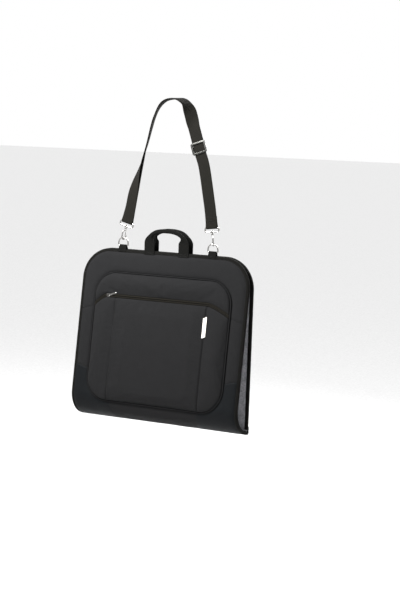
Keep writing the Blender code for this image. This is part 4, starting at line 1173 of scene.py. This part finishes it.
def handle_line(surface):
    """Left half of a handle, patch to crown: (point, width, thickness)."""
    rows = []
    for s in steps(PATCH_DROP, 0.0, 8):
        rows.append((surface(-HANDLE_X, s, PATCH_N), LEG_W, LEG_T))
    y = surface(0, 0, PATCH_N).y
    for z in steps(0.003, LEG_TOP, 8):
        rows.append((bag(-HANDLE_X, y, z), LEG_W, LEG_T * (1.0 + 0.5 * smooth(z / LEG_TOP))))
    line = rounded([(-HANDLE_X, y, LEG_TOP), (-HANDLE_X + 0.0005, y, LEG_TOP + 0.012),
                    (-HANDLE_X + 0.006, y, LEG_TOP + 0.023), (-0.036, y, HANDLE_TOP - 0.0035),
                    (-0.014, y, HANDLE_TOP), (0.0, y, HANDLE_TOP)])
    along = distances(line)
    for point, at in zip(line[1:], along[1:]):
        share = smooth(at / GATHER)
        rows.append((bag(*point), LEG_W + (GRIP_W - LEG_W) * share,
                     LEG_T * 1.5 + (GRIP_T - LEG_T * 1.5) * share))
    return rows


def handle(prefix, surface, half_body):
    left = handle_line(surface)
    mirror = [(Vector((2 * BAG_X - p.x, p.y, p.z)), w, t) for p, w, t in reversed(left[:-1])]
    line = left + mirror
    middle = [p for p, _, _ in line]
    rings, marks = [], distances(middle)
    sides = 28
    for i, (point, width, thickness) in enumerate(line):
        along = (middle[min(i + 1, len(line) - 1)] - middle[max(i - 1, 0)]).normalized()
        out = Vector((0, 1, 0)) - along * along.y
        out.normalize()
        side = along.cross(out)
        flat = 0.42 + 0.50 * smooth((thickness - LEG_T * 2) / (GRIP_T - LEG_T * 2))
        ring = []
        for k in range(sides):
            angle = 2 * math.pi * (k + 0.5) / sides
            across = math.copysign(abs(math.cos(angle)) ** flat, math.cos(angle))
            deep = math.copysign(abs(math.sin(angle)) ** flat, math.sin(angle))
            dent = 1.0 - 0.10 * groove(across, 0.16, 1.0) * smooth((thickness - 0.004) / 0.004)
            ring.append(point + side * across * width / 2 + out * deep * thickness / 2 * dent)
        rings.append(ring)
    obj = sweep(f"{prefix}_carry_handle", rings, marks)
    dress(obj, WEBBING, None,
          (f"{prefix}_handle", f"{prefix}_handle_patch_left", f"{prefix}_handle_patch_right"), sharp=75.0)
    base = surface(-BAG_X, 0, PATCH_N)
    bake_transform(obj)
    runs = []
    inset, face = 0.0026, LEG_T / 2
    for side in (-1, 1):
        low, high = side * HANDLE_X - LEG_W / 2 + inset, side * HANDLE_X + LEG_W / 2 - inset
        box = [(low, PATCH_DROP - inset), (high, PATCH_DROP - inset), (high, 0.0012),
               (low, 0.0012), (low, PATCH_DROP - inset)]
        runs.append(line_on(surface, box, PATCH_N + face, 60))
        runs.append(line_on(surface, [(low, PATCH_DROP - inset), (high, 0.0012)], PATCH_N + face))
        runs.append(line_on(surface, [(high, PATCH_DROP - inset), (low, 0.0012)], PATCH_N + face))
    stitches(f"{prefix}_patch_stitches", runs, half_body)


# ---- D-rings and their tabs ---------------------------------------------------
def ring_points(side):
    half, corner = RING_WIDTH / 2, 0.004
    points = [(half - corner + corner * math.cos(t), corner + corner * math.sin(t))
              for t in steps(-math.pi / 2, 0, 6)]
    points += [(half * math.cos(t), RING_HEIGHT - half + half * math.sin(t))
               for t in steps(0, math.pi, 40)]
    points += [(-a, b) for a, b in reversed(points[:7])]
    points += [(a, 0.0) for a in steps(-(half - corner), half - corner, 8)[1:-1]]
    return [bag(side * RING_X + a, 0, RING_BAR_Z + b) for a, b in points]


def ring_tab(name, side):
    """Webbing folded over the ring's bar and sewn down on both faces."""
    middle = RING_WIRE_R + GAP + TAB_T / 2
    clear = STACK_T / 2 + 2 * GAP + BINDING_T + TAB_T / 2
    rows = []
    for s in steps(TAB_DROP, 0.0, 4):
        p = front(0, s, clear - STACK_T / 2)
        rows.append((p.y, p.z))
    rows.append((-clear, BAG_TOP_Z + EDGE_OUT + GAP))
    rows += [(-middle * math.cos(t), BAG_TOP_Z + RING_BAR_Z + middle * math.sin(t))
             for t in steps(0, math.pi, 14)]
    rows.append((clear, BAG_TOP_Z + EDGE_OUT + GAP))
    for s in steps(0.0, TAB_DROP, 4):
        p = front(0, s, -clear - STACK_T / 2)
        rows.append((p.y, p.z))
    across = Vector((1, 0, 0))
    line = [(Vector((side * RING_X + BAG_X, y, z)), across) for y, z in rows]
    obj = ribbon(f"ring_loop_{name}", line, TAB_W, TAB_T, count=16, thin=0.35, soft=0.0012)
    dress(obj, WEBBING, "front_half", (f"ring_tab_{name}",))
    edge, inset = clear - STACK_T / 2 + TAB_T / 2, 0.0024
    low, high = side * RING_X - TAB_W / 2 + inset, side * RING_X + TAB_W / 2 - inset
    box = [(low, 0.0005), (low, TAB_DROP - inset), (high, TAB_DROP - inset), (high, 0.0005), (low, 0.0005)]
    stitches(f"ring_loop_stitches_{name}", [line_on(front, box, edge, 60)], "front_half")


def rings():
    for name, side in SIDES:
        ring = tube(f"dee_{name}", ring_points(side), RING_WIRE_R, cyclic=True, sides=18)
        dress(ring, NICKEL, f"ring_{name}", (f"d_ring_{name}",))
        ring_tab(name, side)


# ---- hooks and swivel loops ---------------------------------------------------
def hook_frame(side, lean):
    return Matrix.Translation(bag(side * RING_X, 0, RING_TOP_Z)) @ Matrix.Rotation(lean, 4, "Y")


def hook(name, place, turn):
    """Snap hook: bent wire, neck, swivel stud and sprung gate."""
    radius = HOOK_INNER / 2 + HOOK_WIRE_R
    centre = -RING_WIRE_R - HOOK_SEAT_GAP + HOOK_INNER / 2
    spun = place @ Matrix.Rotation(turn, 4, "Z")
    nose = centre + HOOK_NOSE
    shank = HOOK_NECK_Z - 0.002
    points = [(0, 0, HOOK_NECK_Z + 0.0012), (0, 0, HOOK_NECK_Z - 0.001)]
    points += [(0, -radius * smooth(t), shank + t * (HOOK_SHANK_LOW - shank)) for t in steps(0, 1, 10)]
    points += [(0, -radius, z) for z in steps(HOOK_SHANK_LOW, centre, 4)[1:-1]]
    points += [(0, radius * math.cos(t), centre + radius * math.sin(t))
               for t in steps(math.pi, 2 * math.pi, 26)]
    points += [(0, radius, centre + (nose - centre) * t) for t in steps(0, 1, 4)[1:]]
    body = f"hook_{name}"

    def wire_radius(share):
        return HOOK_WIRE_R * (0.94 if 0.02 < share < 0.93 else 0.80 + 0.14 * smooth((1 - share) / 0.07))

    bend = tube(f"snap_bend_{name}", points, wire_radius, sides=18, turn=spun)
    dress(bend, NICKEL, body, (f"hook_{name}_body",))
    low, high = HOOK_NECK_Z, HOOK_NECK_Z + HOOK_NECK_H
    neck = bevel_round(HOOK_NECK_R, low, high, 0.0009)
    neck.insert(5, (HOOK_NECK_R * 0.86, (low + high) / 2))
    collar = lathe(f"snap_collar_{name}", neck, turn=spun)
    dress(collar, NICKEL, body)
    inner = radius - HOOK_WIRE_R - GAP - GATE_R
    gate_top = nose + HOOK_WIRE_R * 0.3 + GATE_LEN - 0.002
    lug_r = HOOK_WIRE_R * 0.9
    lug_low = gate_top + lug_r + HOOK_LUG_GAP
    lug_line = rounded([(0, 0, HOOK_NECK_Z + 0.001), (0, inner * 0.35, lug_low + 0.0028),
                        (0, inner, lug_low)], 2)
    lug = tube(f"snap_lug_{name}", lug_line, lug_r * 0.9, sides=14, turn=spun)
    dress(lug, NICKEL, body)
    head_z = LOOP_BAR_Z + LOOP_BOSS_H / 2 + GAP
    stud = [(STUD_R, high - 0.0005), (STUD_R, head_z)]
    stud += bevel_round(STUD_HEAD_R, head_z, head_z + STUD_HEAD_T, 0.0005)
    pin = lathe(f"swivel_pin_{name}", stud, turn=spun)
    dress(pin, NICKEL, body, (f"hook_{name}_stud",))
    shift = spun @ Matrix.Translation((0, inner, gate_top))
    profile = [(GATE_R * 0.55, -GATE_LEN), (GATE_R * 0.92, -GATE_LEN + 0.0007), (GATE_R * 0.92, -0.0070),
               (GATE_R * 0.74, -0.0064), (GATE_R * 0.74, -0.0020), (GATE_R * 0.95, -0.0014),
               (GATE_R * 0.95, -0.0005), (GATE_R * 0.6, 0.0)]
    gate = lathe(f"snap_gate_{name}", profile, sides=18, turn=shift)
    dress(gate, NICKEL, f"gate_{name}", (f"hook_{name}_gate",))


def swivel_loop(name, place):
    """Flat loop for the webbing, with the boss that the stud turns in."""
    half_w = LOOP_WIDTH / 2 - LOOP_CORNER
    low, high = LOOP_BAR_Z + LOOP_CORNER, LOOP_BAR_Z + LOOP_HEIGHT - LOOP_CORNER
    points = []
    for across, mid, first in ((half_w, low, -0.5), (half_w, high, 0.0), (-half_w, high, 0.5),
                               (-half_w, low, 1.0)):
        for t in steps(first * math.pi, (first + 0.5) * math.pi, 7):
            points.append((across + LOOP_CORNER * math.cos(t), 0, mid + LOOP_CORNER * math.sin(t)))
    dense = []
    for a, b in zip(points, points[1:] + points[:1]):
        count = max(1, round((Vector(b) - Vector(a)).length / 0.003))
        dense += [Vector(a).lerp(Vector(b), k / count) for k in range(count)]
    loop = tube(f"webbing_loop_{name}", dense, LOOP_WIRE_R, cyclic=True, sides=16, turn=place)
    dress(loop, NICKEL, "strap", (f"swivel_loop_{name}",))
    boss = bevel_round(LOOP_BOSS_R, LOOP_BAR_Z - LOOP_BOSS_H / 2, LOOP_BAR_Z + LOOP_BOSS_H / 2, 0.0009)
    dress(lathe(f"swivel_boss_{name}", boss, turn=place), NICKEL, "strap")


def hooks():
    for name, side, lean, turn in (("left", -1, LEFT_LEAN, LEFT_HOOK_TURN),
                                   ("right", 1, RIGHT_LEAN, RIGHT_HOOK_TURN)):
        place = hook_frame(side, lean)
        hook(name, place, turn)
        swivel_loop(name, place)


# ---- shoulder strap -------------------------------------------------------------
def strap_end(side, lean):
    point = hook_frame(side, lean) @ Vector((0, 0, STRAP_BAR_Z))
    return Vector((point.x, point.z)), Vector((math.sin(lean), math.cos(lean)))


def flat(x, z):
    point = bag(x, 0, z)
    return Vector((point.x, point.z))


def strap_route():
    """Route in X and Z from the left loop's bar to the right one's, as the frame has it."""
    start, up = strap_end(-1, LEFT_LEAN)
    end, rise = strap_end(1, RIGHT_LEAN)
    route = [start, start + up * STRAIGHT_END]
    route += [flat(x, z) for x, z in ((-0.122, 0.180), (-0.103, 0.245), (-0.080, 0.318),
                                      (-0.056, 0.400), (-0.027, 0.4435), (0.016, CREST_Z),
                                      (0.046, 0.4455), (0.063, 0.420))]
    top, bottom = flat(0.0765, 0.380), flat(0.119, 0.255)
    route += [top + (bottom - top) * t for t in steps(0, 1, 3)]
    route += [flat(0.1365, 0.168), end + rise * STRAIGHT_END, end]
    return route, top, (bottom - top).normalized()


def strap_stations(step=0.004):
    route, _, _ = strap_route()
    points = []
    for i in range(len(route) - 1):
        p1, p2 = route[i], route[i + 1]
        p0 = route[i - 1] if i else p1 - (p2 - p1)
        p3 = route[i + 2] if i + 2 < len(route) else p2 + (p2 - p1)
        count = max(2, round((p2 - p1).length / step))
        for j in range(count):
            t = j / count
            a = 2 * p1 + (p2 - p0) * t
            b = (2 * p0 - 5 * p1 + 4 * p2 - p3) * t * t
            c = (3 * p1 - p0 - 3 * p2 + p3) * t ** 3
            points.append((a + b + c) / 2)
    points.append(route[-1])
    return points


def twist(fraction):
    """Turn of the webbing about its own line, by the share of its length."""
    marks = ((0.0, 90.0), (0.08, 80.0), (0.24, 28.0), (0.40, 22.0), (0.50, 0.0),
             (0.55, 12.0), (0.60, 56.0), (0.65, 90.0), (1.0, 90.0))
    for (a, low), (b, high) in zip(marks, marks[1:]):
        if fraction <= b:
            return math.radians(low + (high - low) * smooth((fraction - a) / (b - a)))
    return math.radians(marks[-1][1])


def strap_frames():
    points = strap_stations()
    lengths = distances(points)
    frames = []
    for i, point in enumerate(points):
        along = (points[min(i + 1, len(points) - 1)] - points[max(i - 1, 0)]).normalized()
        along = Vector((along.x, 0, along.y))
        angle = twist(lengths[i] / lengths[-1])
        level = Vector((0, 1, 0))
        across = level * math.cos(angle) + along.cross(level) * math.sin(angle)
        frames.append((Vector((point.x, 0, point.y)), along, across, along.cross(across)))
    return frames


def wrap(spot, direction):
    """Half a turn of webbing round a loop's bar, from one face to the other."""
    point, along, across, out = spot
    radius = LOOP_WIRE_R + GAP + STRAP_T / 2
    return [(point + along * direction * radius * math.cos(t) - out * radius * math.sin(t), across)
            for t in steps(-math.pi / 2, math.pi / 2, 18)]


def spread(distance):
    wide = LOOP_WIRE_R + GAP + STRAP_T / 2
    return wide + (LAYER_OFFSET - wide) * smooth(distance / WRAP_REACH)


def slider_place():
    _, top, along = strap_route()
    centre = top + along * SLIDER_ALONG
    along = Vector((along.x, 0, along.y))
    across = along.cross(Vector((0, 1, 0)))
    out = along.cross(across)
    turn = Matrix((-across, along, out)).transposed().to_4x4()
    return Matrix.Translation((centre.x, 0, centre.y)) @ turn, across


def shoulder_strap():
    """The webbing, its sewn end, and the return layer that ends on the slider's bar."""
    frames = strap_frames()
    place, across = slider_place()
    slider, along = place.translation, place.col[1].to_3d()
    lengths = distances([spot[0] for spot in frames])
    total = lengths[-1]
    outer, inner, sewn = [], [], []
    stop = SLIDER_TRAVEL + TAIL_LEN + RETURN_GAP
    for distance, (point, _, side, out) in zip(lengths, frames):
        half = spread(min(distance, total - distance))
        outer.append((point + out * half, side))
        if (point - slider).dot(along) < -stop:
            inner.append((point - out * half, side))
        if total - distance < SEWN_END:
            sewn.append((point - out * half, side))
    rows = inner[::-1] + wrap(frames[0], -1)[-2:0:-1] + outer + wrap(frames[-1], 1)[1:-1] + sewn[::-1]
    webbing = ribbon("shoulder_strap", rows, STRAP_W, STRAP_T)
    dress(webbing, STRAP, "strap", ("shoulder_webbing",))
    bar_depth = LAYER_OFFSET - STRAP_T / 2 - GAP - SLIDER_BAR_R - STRAP_T - LAYER_GAP
    radius = SLIDER_BAR_R + GAP + STRAP_T / 2
    first = (inner[-1][0] - slider).dot(along) + 0.0002
    line = [(a, bar_depth + radius) for a in steps(first, 0.0, 24)]
    line += [(radius * math.sin(t), bar_depth + radius * math.cos(t)) for t in steps(0, math.pi, 16)[1:]]
    line += [(-TAIL_LEN * t, bar_depth - radius) for t in steps(0, 1, 6)[1:]]
    tail = ribbon("strap_return", [(place @ Vector((0, a, b)), across) for a, b in line],
                  STRAP_W, STRAP_T)
    dress(tail, STRAP, None, ("sewn_tail",))
    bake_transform(tail)
    runs = []
    for at in (0.016, 0.020, 0.029, 0.033):
        k = max(j for j, distance in enumerate(lengths) if total - distance >= at)
        point, way, side, out = frames[k]
        n = spread(at) + STRAP_T / 2
        middle = point - way * (lengths[k] - total + at)
        low, high = middle - side * (STRAP_W / 2 - 0.003), middle + side * (STRAP_W / 2 - 0.003)
        for sign in (-1, 1):
            run = [(low.lerp(high, t) + out * n * sign, out * sign) for t in steps(0, 1, 12)]
            runs.append(run)
    stitches("strap_end_stitches", runs, "strap")


def strap_slider():
    """Tri-glide: a rounded frame over the webbing, with cheeks and a bar behind it."""
    place, _ = slider_place()
    width = STRAP_W + 2 * (SLIDER_RAIL + SLIDER_SLACK)
    low = LAYER_OFFSET + STRAP_T / 2 + GAP
    inner_w = width - 2 * SLIDER_RAIL
    bar_depth = LAYER_OFFSET - STRAP_T / 2 - GAP - SLIDER_BAR_R - STRAP_T - LAYER_GAP
    outline = rounded_box_outline(width / 2, SLIDER_LENGTH / 2, 0.0050, 8)
    window = rounded_box_outline(inner_w / 2, SLIDER_LENGTH / 2 - SLIDER_RAIL, 0.0020, 5)
    rim = plate("glide_frame", outline, (window,), SLIDER_HEIGHT, 0.0011,
                place @ Matrix.Translation((0, 0, low + SLIDER_HEIGHT / 2)))
    dress(rim, GUNMETAL, "adjuster", ("slider_frame",), sharp=55.0)
    depth = bar_depth - SLIDER_BAR_R
    reach = low + SLIDER_HEIGHT * 0.7 - depth
    quarter = Matrix.Rotation(math.pi / 2, 4, "Y")
    for name, side in SIDES:
        cheek_line = rounded_box_outline(reach / 2, 0.005, 0.002, 5)
        spot = place @ Matrix.Translation((side * (inner_w / 2 + SLIDER_RAIL / 2), 0, depth + reach / 2))
        cheek = plate(f"glide_cheek_{name}", cheek_line, (), SLIDER_RAIL - 0.001, 0.0006, spot @ quarter)
        dress(cheek, GUNMETAL, "adjuster")
    bar = bevel_round(SLIDER_BAR_R, -inner_w / 2 - 0.001, inner_w / 2 + 0.001, 0.0004)
    lay = place @ Matrix.Translation((0, 0, bar_depth)) @ quarter
    dress(lathe("glide_bar", bar, sides=24, turn=lay), GUNMETAL, "adjuster", ("slider_bar",))


# ---- camera, light and floor ------------------------------------------------------
FLOOR_Z = -1.43
FLOOR_HALF = 40.0
VIEW_ANGLES = (30.0, 6.47, 1.70)    # turn to the bag's right, pitch and roll, degrees
VIEW_AWAY = 5.04
VIEW_RIGHT = 0.1008
VIEW_DOWN = 0.1366
VIEW_LENS = 102.1


def camera():
    """The photograph's view: 30 degrees to the bag's right, from slightly above."""
    azimuth, pitch, roll = (math.radians(angle) for angle in VIEW_ANGLES)
    right = Vector((math.cos(azimuth), math.sin(azimuth), 0))
    up = Vector((-math.sin(azimuth) * math.sin(pitch), math.cos(azimuth) * math.sin(pitch),
                 math.cos(pitch)))
    ahead = Vector((-math.sin(azimuth) * math.cos(pitch), math.cos(azimuth) * math.cos(pitch),
                    -math.sin(pitch)))
    spot = bag(0, 0, 0) - ahead * VIEW_AWAY + right * VIEW_RIGHT - up * VIEW_DOWN
    side = right * math.cos(roll) + up * math.sin(roll)
    above = up * math.cos(roll) - right * math.sin(roll)
    data = bpy.data.cameras.new("view")
    data.sensor_width = 36.0
    data.lens = VIEW_LENS
    view = bpy.data.objects.new("view", data)
    bpy.context.scene.collection.objects.link(view)
    view.matrix_world = Matrix.Translation(spot) @ Matrix((side, above, -ahead)).transposed().to_4x4()
    bpy.context.scene.camera = view


def area_light(name, place, target, size, power, color=(1, 1, 1)):
    data = bpy.data.lights.new(name, "AREA")
    data.shape = "RECTANGLE"
    data.size, data.size_y = size
    data.energy = power
    data.color = color
    lamp = bpy.data.objects.new(name, data)
    bpy.context.scene.collection.objects.link(lamp)
    ahead = (Vector(target) - Vector(place)).normalized()
    lamp.matrix_world = Matrix.Translation(place) @ ahead.to_track_quat("-Z", "Y").to_matrix().to_4x4()


def studio():
    world = bpy.data.worlds.new("studio")
    world.use_nodes = True
    backdrop = world.node_tree.nodes["Background"]
    tree = world.node_tree
    axes = tree.nodes.new("ShaderNodeSeparateXYZ")
    tree.links.new(tree.nodes.new("ShaderNodeTexCoord").outputs["Generated"], axes.inputs[0])
    lean = tree.nodes.new("ShaderNodeMath")
    lean.operation = "ADD"
    tree.links.new(axes.outputs["Y"], lean.inputs[0])
    tree.links.new(axes.outputs["Z"], lean.inputs[1])
    wash = tree.nodes.new("ShaderNodeMapRange")
    for key, number in (("From Min", -0.7), ("From Max", 0.15), ("To Min", 0.45), ("To Max", 1.0)):
        wash.inputs[key].default_value = number
    tree.links.new(lean.outputs[0], wash.inputs["Value"])
    backdrop.inputs["Color"].default_value = (1.0, 1.0, 1.0, 1.0)
    tree.links.new(wash.outputs["Result"], backdrop.inputs["Strength"])
    bpy.context.scene.world = world
    corners = [Vector((a * FLOOR_HALF, b * FLOOR_HALF, FLOOR_Z))
               for a, b in ((-1, -1), (1, -1), (1, 1), (-1, 1))]
    floor = mesh_piece("floor", corners, [(0, 1, 2, 3)])
    floor.data.materials.append(plastic("floor_paper", (0.88, 0.88, 0.88), 0.9, 0.1))
    centre = bag(0, 0, -0.25)
    area_light("key", (-0.35, -0.85, 0.35), bag(0, 0, 0), (0.7, 0.5), 88)
    area_light("fill", (2.2, -1.6, 0.2), centre, (1.4, 1.8), 8)
    area_light("rim", (0.5, 1.5, 0.5), centre, (1.4, 1.0), 85)
    bpy.context.scene.view_settings.view_transform = "Standard"


camera()
front_cloth()
for label, hand in SIDES:
    corner_skin(label, hand)
pocket_panels()
pocket_trim()
zip_parts()
zip_seams()
zip_runner()
badge()
binding("front", front, FRONT_END + FOLD_END - FOLD_BINDING_END, "front_half")
binding("back", back, BACK_END + FOLD_END - FOLD_BINDING_END, "back_half")
fold_cover()
back_cloth()
lining("front", front, FRONT_END, "front_half")
lining("back", back, BACK_END, "back_half")
inside()
handle("front", front, "front_half")
handle("back", back, "back_half")
rings()
hooks()
shoulder_strap()
strap_slider()
studio()
